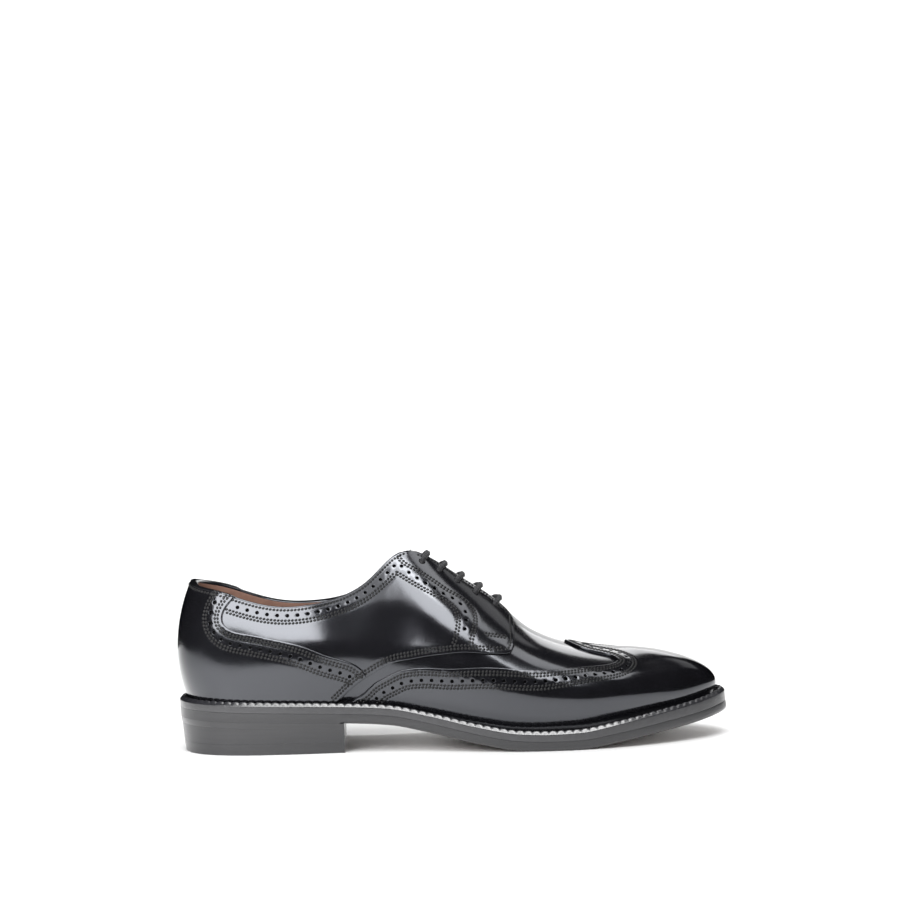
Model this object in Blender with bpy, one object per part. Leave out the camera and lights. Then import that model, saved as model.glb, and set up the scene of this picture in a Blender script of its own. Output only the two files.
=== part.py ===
"""Full brogue derby, right shoe: a welted dress shoe as an assembly of separate solids.

Frame: +X to the toe, -Y to the outer (lateral) side, +Z up, floor at z = 0.
The last is one function of two numbers: along (0 heel back, 1 toe tip, on either side) and
up (0 feather line, 1 top line). Every piece of the upper is a layer on that surface.
Tables are in millimetres or in percent of the driving dimensions; meshes are in metres.
"""
from collections import namedtuple

import bpy
import numpy as np
from mathutils.geometry import delaunay_2d_cdt

MM = 0.001

# Driving dimensions, in millimetres
LENGTH = 307.0
BALL_WIDTH = 85.0
INSTEP_HEIGHT = 106.0
HEEL_PITCH = 19.6
TOE_SPRING = 13.4
GAP = 0.3

# Layers of the upper, in millimetres
WALL = 1.6
QUARTER_LEATHER = 1.2
WING_LEATHER = 1.2
FOXING_LEATHER = 1.0
TONGUE_LEATHER = 1.4
LACE_RADIUS = 1.35

# Layers of the bottom, in millimetres
WELT_DEPTH = 4.9
OUTSOLE_DEPTH = 4.8
SOLE_STACK = WELT_DEPTH + GAP + OUTSOLE_DEPTH
TREAD_FLAT = 0.15
INSOLE_PROUD = 1.0
HEEL_BREAST_X = -61.0
HEEL_BREAST_HOLLOW = 3.0
HEEL_TAPER = 2.4
HEEL_INSET = 0.4
FIRST_LIFT_DEPTH = 3.2
TOP_PIECE_DEPTH = 6.0

# Facets: millimetres of leather for one unit of along and of up, and the rows of the lattice
ALONG_MM = 330.0
UP_MM = 75.0
UP_ROWS = 16
ROUND_STEP = 0.0145
SIDE_STEP = 0.021
TAB_STEP = 0.0165
HEEL_ROUND_END = 0.13
TAB_START = 0.535
TAB_END = 0.70
TOE_ROUND_START = 0.80
EDGE_STEP = 3.6
SOLE_POINTS = 56
SOLE_CROWDING = 0.5
HEEL_TRACE = 400
HEEL_POINTS = 25
BREAST_POINTS = 7
WELD = 0.5

# Feather line of the last: x in percent of length, half widths in percent of ball width,
# margin is how far the welt stands out beyond it, in millimetres
Foot = namedtuple("Foot", "name x lateral medial margin")
FOOT = (
    Foot("heel_back", -47.5, 0.0, 0.0, 7.0),
    Foot("heel_round", -45.8, 17.2, 17.2, 7.0),
    Foot("heel_corner", -41.7, 28.0, 27.8, 6.9),
    Foot("heel_wide", -34.5, 33.6, 33.2, 6.7),
    Foot("seat_front", -25.4, 34.8, 32.5, 6.5),
    Foot("waist_back", -15.3, 34.8, 28.2, 6.2),
    Foot("waist", -5.9, 38.1, 28.7, 6.6),
    Foot("instep", 2.6, 44.2, 34.8, 7.4),
    Foot("tab", 10.4, 48.9, 43.8, 8.2),
    Foot("vamp_point", 13.9, 49.8, 47.3, 8.4),
    Foot("ball", 17.6, 49.9, 49.1, 8.6),
    Foot("forefoot", 25.7, 46.6, 49.3, 8.7),
    Foot("toe_box", 33.6, 38.4, 42.6, 8.8),
    Foot("toe_shoulder", 40.1, 26.6, 30.1, 9.0),
    Foot("toe_round", 45.0, 12.5, 14.1, 9.6),
    Foot("toe_tip", 46.8, 0.0, 0.0, 9.65),
)

# Ribs from the feather line to the top line (collar, throat, then the ridge of the vamp):
# x in percent of length, z in percent of instep height; y, the pull of the wall at its foot
# (rise, belly) and at its top (drop, reach), and its fullness half-way up in millimetres;
# slope is that of the ridge
Rib = namedtuple("Rib", "name x y z_lat z_med rise drop belly_lat belly_med reach_lat reach_med slope full")
RIB = (
    Rib("heel_back", -46.5, 0.0, 87.7, 87.7, 20.0, 21.0, 7.2, 7.2, 9.2, 9.2, 0.0, 0.0),
    Rib("heel_round", -45.3, 11.5, 85.3, 86.7, 19.5, 20.5, 6.6, 6.6, 8.8, 8.8, 0.0, 0.0),
    Rib("heel_corner", -41.7, 20.3, 82.9, 83.9, 18.5, 19.5, 5.4, 5.4, 8.2, 8.2, 0.0, -1.0),
    Rib("heel_wide", -34.2, 26.0, 76.5, 76.3, 16.4, 18.8, 4.6, 4.6, 7.2, 7.2, 0.0, -0.1),
    Rib("seat_front", -25.4, 27.7, 75.6, 73.6, 16.6, 17.4, 4.8, 4.6, 7.4, 7.0, 0.0, 1.1),
    Rib("waist_back", -15.3, 21.8, 86.1, 82.4, 14.5, 18.6, 5.5, 5.5, 11.8, 10.8, 0.0, 2.9),
    Rib("waist", -8.0, 9.9, 100.8, 99.8, 10.3, 16.1, 7.4, 7.6, 15.1, 14.1, 0.0, 6.0),
    Rib("instep", 1.0, 5.1, 86.9, 86.7, 14.1, 3.7, 5.3, 5.7, 19.0, 19.0, 0.0, 9.6),
    Rib("tab", 9.2, 1.2, 70.8, 70.8, 16.0, 4.0, 5.0, 5.6, 18.0, 20.0, -0.75, 12.0),
    Rib("vamp_point", 12.4, 0.0, 62.4, 62.4, 15.5, 1.5, 5.2, 5.8, 21.0, 23.5, -0.7, 11.5),
    Rib("ball", 15.2, 0.0, 56.6, 56.6, 15.0, 0.0, 5.4, 6.0, 23.0, 26.0, -0.5, 11.0),
    Rib("forefoot", 22.0, 0.0, 49.0, 49.0, 14.5, 0.0, 6.0, 6.6, 24.0, 27.0, -0.2, 10.0),
    Rib("toe_box", 28.2, 0.0, 45.9, 45.9, 13.5, 0.0, 7.6, 8.0, 24.0, 26.0, -0.1, 5.5),
    Rib("toe_shoulder", 31.9, 0.0, 45.3, 45.3, 12.5, 0.0, 10.0, 10.2, 25.0, 26.0, -0.1, 0.5),
    Rib("toe_round", 34.0, 0.0, 44.8, 44.8, 11.5, 0.0, 12.6, 12.6, 26.0, 26.0, -0.11, -0.5),
    Rib("toe_tip", 34.6, 0.0, 44.6, 44.6, 11.0, 0.0, 13.4, 13.4, 26.0, 26.0, -0.12, 0.0),
)

# Side view of the sole: x in percent of length, lift in percent of heel pitch and toe spring
Lift = namedtuple("Lift", "x heel toe")
LIFT = (
    Lift(-50.0, 100.0, 0.0),
    Lift(-33.0, 91.0, 0.0),
    Lift(-19.5, 83.0, 0.0),
    Lift(-12.0, 75.0, 0.0),
    Lift(-4.6, 52.0, 0.0),
    Lift(3.3, 23.0, 0.0),
    Lift(11.0, 3.0, 0.0),
    Lift(16.0, 0.0, 0.0),
    Lift(21.0, 0.0, 1.0),
    Lift(28.5, 0.0, 22.0),
    Lift(36.5, 0.0, 50.0),
    Lift(43.0, 0.0, 71.0),
    Lift(50.0, 0.0, 100.0),
)

# Cut lines of the leather on the last, as (along, up)
LEATHER_FOOT = 0.045
CENTRE_BACK = 0.0006
QUARTER_FRONT = (
    (0.300, LEATHER_FOOT), (0.311, 0.110), (0.333, 0.223), (0.356, 0.299), (0.400, 0.373),
    (0.431, 0.390), (0.467, 0.412), (0.500, 0.437), (0.533, 0.468), (0.564, 0.493), (0.597, 0.535),
)
QUARTER_TAB = ((0.597, 0.535), (0.608, 0.560), (0.615, 0.610), (0.619, 0.735), (0.620, 0.860))
QUARTER_FACING = ((0.620, 0.860), (0.612, 0.925), (0.592, 0.958), (0.560, 0.980), (0.525, 1.0))
FOXING_FRONT = ((0.296, LEATHER_FOOT), (0.307, 0.110), (0.329, 0.223), (0.347, 0.283))
FOXING_TOP = (
    (0.347, 0.283), (0.340, 0.330), (0.284, 0.474), (0.237, 0.603), (0.194, 0.672), (0.148, 0.688),
    (0.118, 0.695), (0.109, 0.735), (0.107, 0.777), (0.109, 0.845), (0.123, 1.0),
)
WING_EDGE = (
    (0.328, LEATHER_FOOT), (0.345, 0.118), (0.362, 0.207), (0.385, 0.267), (0.410, 0.314),
    (0.435, 0.335), (0.465, 0.347), (0.497, 0.356), (0.578, 0.423), (0.676, 0.522), (0.738, 0.595),
    (0.774, 0.623), (0.796, 0.657), (0.808, 0.710), (0.806, 0.750), (0.780, 0.818), (0.749, 0.893),
    (0.737, 1.0),
)
EYELETS = ((0.471, 0.922), (0.499, 0.915), (0.527, 0.901), (0.557, 0.883), (0.590, 0.882))
LACE_LEAN = 0.005

# Tongue: ends and edge on the last, how far its top stands out past the throat, the share of
# that at its corners, and how much deeper than the lining its front lies
TONGUE_TOP = 0.455
TONGUE_FRONT = 0.675
TONGUE_EDGE = 0.84
TONGUE_PROUD = 2.5
TONGUE_CORNER = 0.3
TONGUE_SINK = 0.5
TONGUE_ROWS = 15
TONGUE_COLUMNS = 17
THROAT_POINTS = 9

# Edge of the welt and of the outsole: how far in from the rim, and depth under the welt's top
Rim = namedtuple("Rim", "inset depth")
WELT_RIM = (
    Rim(1.4, 0.0), Rim(0.3, 0.5), Rim(0.0, 1.5), Rim(0.6, 2.4), Rim(0.25, 3.1), Rim(0.25, WELT_DEPTH),
)
OUTSOLE_RIM = (
    Rim(0.4, WELT_DEPTH + GAP), Rim(0.25, WELT_DEPTH + 1.2), Rim(0.25, SOLE_STACK - 0.9), Rim(0.8, SOLE_STACK),
)

Finish = namedtuple("Finish", "name color roughness")
CALF = Finish("black_polished_calf", (0.006, 0.006, 0.007, 1.0), 0.22)
LINING = Finish("tan_lining_leather", (0.24, 0.115, 0.05, 1.0), 0.6)
EDGE = Finish("black_sole_edge", (0.02, 0.02, 0.022, 1.0), 0.4)
WELTING = Finish("black_welt_leather", (0.03, 0.03, 0.032, 1.0), 0.45)
CORD = Finish("black_waxed_lace", (0.012, 0.012, 0.013, 1.0), 0.6)


def cubic_line(knots, values, cyclic=False):
    """Cubic with continuous bend through values at knots; cyclic means a period of one."""
    t = np.asarray(knots, float)
    y = np.asarray(values, float)
    n = len(t)
    h = np.roll(t, -1) - t
    if cyclic:
        h[-1] += 1.0
    else:
        h[-1] = 1.0
    rate = (np.roll(y, -1) - y) / h
    bend = np.zeros((n, n))
    for i in range(n):
        bend[i, i - 1] += h[i - 1]
        bend[i, i] += 2 * (h[i - 1] + h[i])
        bend[i, (i + 1) % n] += h[i]
    turn = 6 * (rate - np.roll(rate, 1))
    if not cyclic:
        for end in (0, n - 1):
            bend[end] = 0.0
            bend[end, end] = 1.0
            turn[end] = 0.0
    m = np.linalg.solve(bend, turn)

    def value(s):
        s = np.asarray(s, float)
        if cyclic:
            s = np.mod(s, 1.0)
        i = np.clip(np.searchsorted(t, s, side="right") - 1, 0, n - 1 if cyclic else n - 2)
        j = (i + 1) % n
        p = (s - t[i]) / h[i]
        q = 1.0 - p
        return q * y[i] + p * y[j] + h[i] ** 2 / 6 * ((q ** 3 - q) * m[i] + (p ** 3 - p) * m[j])
    return value


def steady_line(knots, values):
    """Smooth line through values at knots that never overshoots them."""
    t = np.asarray(knots, float)
    y = np.asarray(values, float)
    h = np.diff(t)
    rate = np.diff(y) / h
    slope = np.concatenate([rate[:1], np.zeros(len(t) - 2), rate[-1:]])
    for i in range(1, len(t) - 1):
        if rate[i - 1] * rate[i] > 0:
            before = 2 * h[i] + h[i - 1]
            after = h[i] + 2 * h[i - 1]
            slope[i] = (before + after) / (before / rate[i - 1] + after / rate[i])

    def value(s):
        s = np.clip(np.asarray(s, float), t[0], t[-1])
        i = np.clip(np.searchsorted(t, s, side="right") - 1, 0, len(h) - 1)
        p = (s - t[i]) / h[i]
        q = 1.0 - p
        ends = y[i] * q * q * (1 + 2 * p) + y[i + 1] * p * p * (1 + 2 * q)
        return ends + h[i] * (slope[i] * p * q * q - slope[i + 1] * p * p * q)
    return value


class Last:
    """The last as a surface: u runs once round it (heel, lateral, toe, medial), v runs up it."""

    TOP_SPREAD = np.linspace(-0.03, 0.03, 9)
    STEP = 1e-3

    def __init__(self):
        x = np.array([row.x for row in FOOT]) * LENGTH / 100
        lateral = np.array([row.lateral for row in FOOT]) * BALL_WIDTH / 100
        medial = np.array([row.medial for row in FOOT]) * BALL_WIDTH / 100
        girth = np.hypot(np.diff(x), np.diff(lateral)) + np.hypot(np.diff(x), np.diff(medial))
        self.along = np.concatenate([[0.0], np.cumsum(girth)]) / girth.sum()
        self.foot_x = self.loop(x, x)
        self.foot_y = self.loop(-lateral, medial)
        self.margin = self.column(FOOT, "margin", "margin")
        self.top_x = self.column(RIB, "x", "x", LENGTH / 100)
        self.top_z = self.column(RIB, "z_lat", "z_med", INSTEP_HEIGHT / 100)
        self.rise = self.column(RIB, "rise", "rise")
        self.drop = self.column(RIB, "drop", "drop")
        self.slope = self.column(RIB, "slope", "slope")
        self.full = self.column(RIB, "full", "full")
        self.belly = self.column(RIB, "belly_lat", "belly_med")
        self.reach = self.column(RIB, "reach_lat", "reach_med")
        self.half_gap = steady_line(self.along, [row.y for row in RIB])
        lift = [SOLE_STACK + (HEEL_PITCH * row.heel + TOE_SPRING * row.toe) / 100 for row in LIFT]
        self.seat = steady_line([row.x * LENGTH / 100 for row in LIFT], lift)

    def loop(self, lateral, medial):
        knots = list(self.along / 2) + list(1 - self.along / 2)[-2:0:-1]
        return cubic_line(knots, list(lateral) + list(medial)[-2:0:-1], cyclic=True)

    def column(self, table, lateral, medial, scale=1.0):
        return self.loop([getattr(row, lateral) * scale for row in table],
                         [getattr(row, medial) * scale for row in table])

    def top_y(self, u):
        u = np.mod(u, 1.0)
        along = 2 * np.minimum(u, 1 - u)
        total = np.zeros_like(along)
        for shift in self.TOP_SPREAD:
            place = along + shift
            folded = np.minimum(np.abs(place), 2 - np.abs(place))
            total += np.sign(place) * self.half_gap(folded)
        return np.where(u < 0.5, -total, total) / len(self.TOP_SPREAD)

    def foot(self, u):
        return np.stack([self.foot_x(u), self.foot_y(u)], -1)

    def outward(self, u):
        along_foot = self.foot(u + self.STEP) - self.foot(u - self.STEP)
        out = np.stack([along_foot[..., 1], -along_foot[..., 0]], -1)
        return out / np.linalg.norm(out, axis=-1, keepdims=True)

    def sole_edge(self, u, inset=0.0):
        return self.foot(u) + self.outward(u) * (self.margin(u) - inset)[..., None]

    def surface(self, u, v):
        u, v = np.broadcast_arrays(np.asarray(u, float), np.asarray(v, float))
        base = self.foot(u)
        flat_out = self.outward(u)
        out = np.concatenate([flat_out, np.zeros_like(flat_out[..., :1])], -1)
        foot = np.stack([base[..., 0], base[..., 1], self.seat(base[..., 0]) + GAP], -1)
        top = np.stack([self.top_x(u), self.top_y(u), self.top_z(u)], -1)
        low = foot + out * self.belly(u)[..., None]
        low[..., 2] += self.rise(u)
        high = top + out * self.reach(u)[..., None]
        high[..., 2] += self.slope(u) * out[..., 0] * self.reach(u) - self.drop(u)
        v = v[..., None]
        w = 1.0 - v
        bulge = (4 * w * v) ** 2 * self.full(u)[..., None]
        return w ** 3 * foot + 3 * w * w * v * low + 3 * w * v * v * high + v ** 3 * top + bulge * out

    def normal(self, u, v):
        u, v = np.broadcast_arrays(np.asarray(u, float), np.asarray(v, float))
        off_pole = np.minimum(v, 0.995)
        round_it = self.surface(u + self.STEP, off_pole) - self.surface(u - self.STEP, off_pole)
        up_it = self.surface(u, v + self.STEP) - self.surface(u, v - self.STEP)
        out = np.cross(round_it, up_it)
        return out / np.linalg.norm(out, axis=-1, keepdims=True)

    def layer(self, u, v, height):
        return self.surface(u, v) + self.normal(u, v) * height


LAST = Last()


def smooth_edge(points, step=EDGE_STEP):
    """Points along a curve through a few (along, up) points, about one step apart."""
    p = np.array(points) * (ALONG_MM, UP_MM)
    reach = np.concatenate([[0.0], np.cumsum(np.linalg.norm(np.diff(p, axis=0), axis=1))])
    count = max(1, int(round(reach[-1] / step)))
    s = np.linspace(0.0, reach[-1], count + 1)
    line = np.stack([cubic_line(reach, p[:, 0])(s), cubic_line(reach, p[:, 1])(s)], -1)
    return line / (ALONG_MM, UP_MM)


def along_stations():
    """Stations of the lattice, closer together at heel, lacing tab and toe."""
    ends = ((0.0, HEEL_ROUND_END, ROUND_STEP), (HEEL_ROUND_END, TAB_START, SIDE_STEP),
            (TAB_START, TAB_END, TAB_STEP), (TAB_END, TOE_ROUND_START, SIDE_STEP),
            (TOE_ROUND_START, 1.0, ROUND_STEP))
    stations = [0.0]
    for start, end, step in ends:
        count = int(round((end - start) / step))
        stations += list(np.linspace(start, end, count + 1)[1:])
    return np.array(stations)


STATIONS = along_stations()


def level_edge(start, end, up):
    """Points at one height on the last between two stations."""
    inside = STATIONS[(STATIONS > min(start, end) + 0.004) & (STATIONS < max(start, end) - 0.004)]
    if start > end:
        inside = inside[::-1]
    places = np.concatenate([[start], inside, [end]])
    return np.stack([places, np.full(len(places), up)], -1)


def upright_edge(along, start, end):
    """Points up or down one rib of the last."""
    count = max(1, int(round(abs(end - start) * UP_ROWS)))
    heights = np.linspace(start, end, count + 1)
    return np.stack([np.full(len(heights), along), heights], -1)


def ring(*edges):
    """One closed outline from edges that follow each other."""
    return np.concatenate([edge[:-1] for edge in edges])


def inside_outline(points, outline):
    """Which points lie in an outline and clear of its edge."""
    a = outline * (ALONG_MM, UP_MM)
    b = np.roll(a, -1, axis=0)
    p = points * (ALONG_MM, UP_MM)
    crossings = np.zeros(len(p), int)
    nearest = np.full(len(p), np.inf)
    for start, end in zip(a, b):
        spans = (start[1] > p[:, 1]) != (end[1] > p[:, 1])
        rise = end[1] - start[1]
        if rise != 0.0:
            x = start[0] + (p[:, 1] - start[1]) / rise * (end[0] - start[0])
            crossings += spans & (p[:, 0] < x)
        run = end - start
        share = np.clip(((p - start) @ run) / max(run @ run, 1e-9), 0, 1)
        nearest = np.minimum(nearest, np.linalg.norm(p - start - share[:, None] * run, axis=1))
    return (crossings % 2 == 1) & (nearest > 0.45 * EDGE_STEP)


def half_patch(outline):
    """Triangles over one half of the last inside an (along, up) outline."""
    lattice = []
    middles = (STATIONS[:-1] + STATIONS[1:]) / 2
    for row in range(1, UP_ROWS):
        columns = middles if row % 2 else STATIONS[1:-1]
        lattice += [(along, row / UP_ROWS) for along in columns]
    lattice = np.array(lattice)
    points = np.concatenate([outline, lattice[inside_outline(lattice, outline)]])
    n = len(outline)
    edges = [(i, (i + 1) % n) for i in range(n)]
    flat = [tuple(p) for p in points * (ALONG_MM, UP_MM)]
    found, _, faces, _, _, _ = delaunay_2d_cdt(flat, edges, [], 1, 1e-5)
    return np.array([tuple(p) for p in found]) / (ALONG_MM, UP_MM), [tuple(f) for f in faces]


def layer_mesh(points, normals, faces, low, high):
    """A closed layer between two heights over a triangulated piece of surface."""
    n = len(points)
    rims = {}
    for face in faces:
        for a, b in zip(face, face[1:] + face[:1]):
            if (b, a) in rims:
                del rims[(b, a)]
            else:
                rims[(a, b)] = True
    vertices = np.concatenate([points + normals * high, points + normals * low])
    solid = list(faces) + [tuple(i + n for i in reversed(face)) for face in faces]
    solid += [(b, a, a + n, b + n) for a, b in rims]
    return vertices, solid


def side_layer(outline, side, low, high):
    """A layer on the lateral (-1) or the medial (+1) half of the last."""
    flat, faces = half_patch(outline)
    u = flat[:, 0] / 2
    if side > 0:
        u = 1.0 - u
        faces = [face[::-1] for face in faces]
    v = flat[:, 1]
    return layer_mesh(LAST.surface(u, v), LAST.normal(u, v), faces, low, high)


def whole_layer(outline, low, high):
    """A layer on both halves of the last, joined where they meet on the centre line."""
    flat, faces = half_patch(outline)
    v = flat[:, 1]
    lateral = LAST.surface(flat[:, 0] / 2, v)
    medial = LAST.surface(1.0 - flat[:, 0] / 2, v)
    lateral_out = LAST.normal(flat[:, 0] / 2, v)
    medial_out = LAST.normal(1.0 - flat[:, 0] / 2, v)
    joined = np.linalg.norm(lateral - medial, axis=1) < WELD
    lateral[joined] = (lateral[joined] + medial[joined]) / 2
    lateral_out[joined] += medial_out[joined]
    lateral_out[joined] /= np.linalg.norm(lateral_out[joined], axis=1, keepdims=True)
    n = len(flat)
    twin = np.where(joined, np.arange(n), n + np.cumsum(~joined) - 1)
    points = np.concatenate([lateral, medial[~joined]])
    normals = np.concatenate([lateral_out, medial_out[~joined]])
    mirrored = [tuple(int(twin[i]) for i in reversed(face)) for face in faces]
    return layer_mesh(points, normals, faces + mirrored, low, high)


def bridged(vertices_per_ring, rings):
    """Quads between closed rings of points that follow each other."""
    faces = []
    for k in range(rings - 1):
        for i in range(vertices_per_ring):
            j = (i + 1) % vertices_per_ring
            a = k * vertices_per_ring
            b = a + vertices_per_ring
            faces.append((a + i, a + j, b + j, b + i))
    return faces


def ladder(n, start, upwards):
    """Faces across a closed ring whose two halves mirror each other in number."""
    faces = []
    for i in range(n // 2):
        near = [start + i, start + i + 1]
        far = [start + (n - i - 1) % n, start + (n - i) % n]
        face = near + far
        kept = tuple(p for k, p in enumerate(face) if p not in face[:k])
        faces.append(kept if upwards else kept[::-1])
    return faces


def sole_places():
    """Places round the last for the bottom pieces, crowded at heel and toe."""
    half = np.linspace(0.0, 1.0, SOLE_POINTS // 2 + 1)
    eased = half - SOLE_CROWDING * np.sin(2 * np.pi * half) / (2 * np.pi)
    return np.concatenate([eased / 2, 1.0 - eased[-2:0:-1] / 2])


def slab(rings):
    """A solid from closed rings, top ring first, closed across the first and the last."""
    n = len(rings[0])
    count = len(rings)
    faces = [face[::-1] for face in bridged(n, count)]
    faces += ladder(n, 0, True)
    faces += ladder(n, (count - 1) * n, False)
    return np.concatenate(rings), faces


def tread_height(x):
    """Underside of the outsole, flat where the ball stands on the floor."""
    return np.maximum(LAST.seat(x) - SOLE_STACK - TREAD_FLAT, 0.0)


def upper_mesh():
    outline = ring(level_edge(0.0, 1.0, 0.0), upright_edge(1.0, 0.0, 1.0), level_edge(1.0, 0.0, 1.0),
                   upright_edge(0.0, 1.0, 0.0))
    return whole_layer(outline, -WALL, 0.0)


def wing_mesh():
    start = WING_EDGE[0][0]
    peak = WING_EDGE[-1][0]
    outline = ring(level_edge(start, 1.0, LEATHER_FOOT), upright_edge(1.0, LEATHER_FOOT, 1.0),
                   level_edge(1.0, peak, 1.0), smooth_edge(WING_EDGE)[::-1])
    return whole_layer(outline, GAP, GAP + WING_LEATHER)


def quarter_mesh(side):
    front = QUARTER_FRONT[0][0]
    throat = QUARTER_FACING[-1][0]
    outline = ring(level_edge(CENTRE_BACK, front, LEATHER_FOOT), smooth_edge(QUARTER_FRONT),
                   smooth_edge(QUARTER_TAB), smooth_edge(QUARTER_FACING),
                   level_edge(throat, CENTRE_BACK, 1.0), upright_edge(CENTRE_BACK, 1.0, LEATHER_FOOT))
    return side_layer(outline, side, GAP, GAP + QUARTER_LEATHER)


def foxing_mesh():
    front = FOXING_FRONT[0][0]
    collar = FOXING_TOP[-1][0]
    low = GAP + QUARTER_LEATHER + GAP
    outline = ring(level_edge(0.0, front, LEATHER_FOOT), smooth_edge(FOXING_FRONT), smooth_edge(FOXING_TOP),
                   level_edge(collar, 0.0, 1.0), upright_edge(0.0, 1.0, LEATHER_FOOT))
    return whole_layer(outline, low, low + FOXING_LEATHER)


def across_throat(along, edge, height):
    """A line over the throat from a height on the lateral wall to the medial one."""
    heights = np.linspace(edge, 1.0, THROAT_POINTS)
    lateral = LAST.layer(np.full(THROAT_POINTS, along / 2), heights, height)
    medial = LAST.layer(np.full(THROAT_POINTS, 1 - along / 2), heights, height)
    span = np.linalg.norm(lateral[-1] - medial[-1])
    lateral_pull = lateral[-1] - lateral[-2]
    medial_pull = medial[-1] - medial[-2]
    lateral_pull *= span / 3 / np.linalg.norm(lateral_pull)
    medial_pull *= span / 3 / np.linalg.norm(medial_pull)
    t = np.linspace(0.0, 1.0, THROAT_POINTS)[1:-1, None]
    w = 1.0 - t
    arch = (w ** 3 * lateral[-1] + 3 * w * w * t * (lateral[-1] + lateral_pull)
            + 3 * w * t * t * (medial[-1] + medial_pull) + t ** 3 * medial[-1])
    return np.concatenate([lateral, arch, medial[::-1]])


def evenly(line, count):
    """Points at equal distances along a line."""
    step = np.linalg.norm(np.diff(line, axis=0), axis=1)
    reach = np.concatenate([[0.0], np.cumsum(step)])
    places = np.linspace(0.0, reach[-1], count)
    return np.stack([np.interp(places, reach, line[:, k]) for k in range(3)], -1)


def tongue_mesh():
    rows = []
    for share in np.linspace(0.0, 1.0, TONGUE_ROWS):
        along = TONGUE_TOP + (TONGUE_FRONT - TONGUE_TOP) * share
        middle = -(WALL + GAP + TONGUE_LEATHER / 2 + TONGUE_SINK * share)
        rows.append(evenly(across_throat(along, TONGUE_EDGE, middle), TONGUE_COLUMNS))
    onward = rows[0] - rows[1]
    onward /= np.linalg.norm(onward, axis=1, keepdims=True)
    crown = np.sin(np.linspace(0.0, np.pi, TONGUE_COLUMNS))[:, None]
    tip = rows[0] + onward * TONGUE_PROUD * (TONGUE_CORNER + (1.0 - TONGUE_CORNER) * crown)
    grid = np.array([tip] + rows)
    out = np.cross(np.gradient(grid, axis=0), np.gradient(grid, axis=1))
    out /= np.linalg.norm(out, axis=-1, keepdims=True)
    columns = TONGUE_COLUMNS
    faces = []
    for i in range(len(grid) - 1):
        for j in range(columns - 1):
            a = i * columns + j
            faces.append((a, a + columns, a + columns + 1))
            faces.append((a, a + columns + 1, a + 1))
    half = TONGUE_LEATHER / 2
    return layer_mesh(grid.reshape(-1, 3), out.reshape(-1, 3), faces, -half, half)


def tube(path, radius, sides=6):
    """A closed round cord along a path that runs mainly across the shoe."""
    heading = np.gradient(path, axis=0)
    heading /= np.linalg.norm(heading, axis=1, keepdims=True)
    side = np.cross(heading, (0.0, 0.0, 1.0))
    side /= np.linalg.norm(side, axis=1, keepdims=True)
    rise = np.cross(side, heading)
    turn = np.arange(sides) * 2 * np.pi / sides
    rings = [p + radius * (np.cos(turn)[:, None] * s + np.sin(turn)[:, None] * r)
             for p, s, r in zip(path, side, rise)]
    faces = [face[::-1] for face in bridged(sides, len(path))]
    faces.append(tuple(range(sides)))
    faces.append(tuple(range(len(path) * sides - 1, (len(path) - 1) * sides - 1, -1)))
    return np.concatenate(rings), faces


def lace_bar_mesh(eyelet):
    along, up = eyelet
    height = GAP + QUARTER_LEATHER + GAP + LACE_RADIUS
    lateral = []
    medial = []
    for share in (0.0, 0.5, 1.0):
        place = (along + LACE_LEAN * share) / 2
        level = up + (1.0 - up) * share
        lateral.append(LAST.layer(np.array(place), np.array(level), height))
        medial.append(LAST.layer(np.array(1.0 - place), np.array(level), height))
    crest = (lateral[-1] + medial[-1]) / 2 + np.array([0.0, 0.0, LACE_RADIUS])
    knots = np.array(lateral + [crest] + medial[::-1])
    s = np.linspace(0.0, 1.0, len(knots))
    places = np.linspace(0.0, 1.0, 9)
    path = np.stack([cubic_line(s, knots[:, k])(places) for k in range(3)], -1)
    return tube(path, LACE_RADIUS)


def sole_ring(u, inset, depth):
    edge = LAST.sole_edge(u, inset)
    return np.column_stack([edge, LAST.seat(edge[:, 0]) - depth])


def welt_mesh():
    u = sole_places()
    rings = [sole_ring(u, rim.inset, rim.depth) for rim in WELT_RIM]
    inner = LAST.foot(u) - LAST.outward(u) * (WALL + GAP)
    seat = LAST.seat(inner[:, 0])
    rings.append(np.column_stack([inner, seat - WELT_DEPTH]))
    rings.append(np.column_stack([inner, seat]))
    rings.append(rings[0])
    n = len(u)
    count = len(rings) - 1
    faces = [tuple(i % (n * count) for i in face[::-1]) for face in bridged(n, count + 1)]
    return np.concatenate(rings[:-1]), faces


def outsole_mesh():
    u = sole_places()
    rings = []
    for rim in OUTSOLE_RIM:
        points = sole_ring(u, rim.inset, rim.depth)
        above = SOLE_STACK - rim.depth
        points[:, 2] = np.maximum(points[:, 2], tread_height(points[:, 0]) + above)
        if above == 0.0:
            points[:, 2] = tread_height(points[:, 0])
        rings.append(points)
    return slab(rings)


def insole_mesh():
    u = sole_places()
    inset = WALL + 2 * GAP
    edge = LAST.foot(u) - LAST.outward(u) * inset
    seat = LAST.seat(edge[:, 0])
    top = np.column_stack([edge, seat + INSOLE_PROUD])
    bottom = np.column_stack([edge, seat - WELT_DEPTH])
    return slab([top, bottom])


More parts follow.
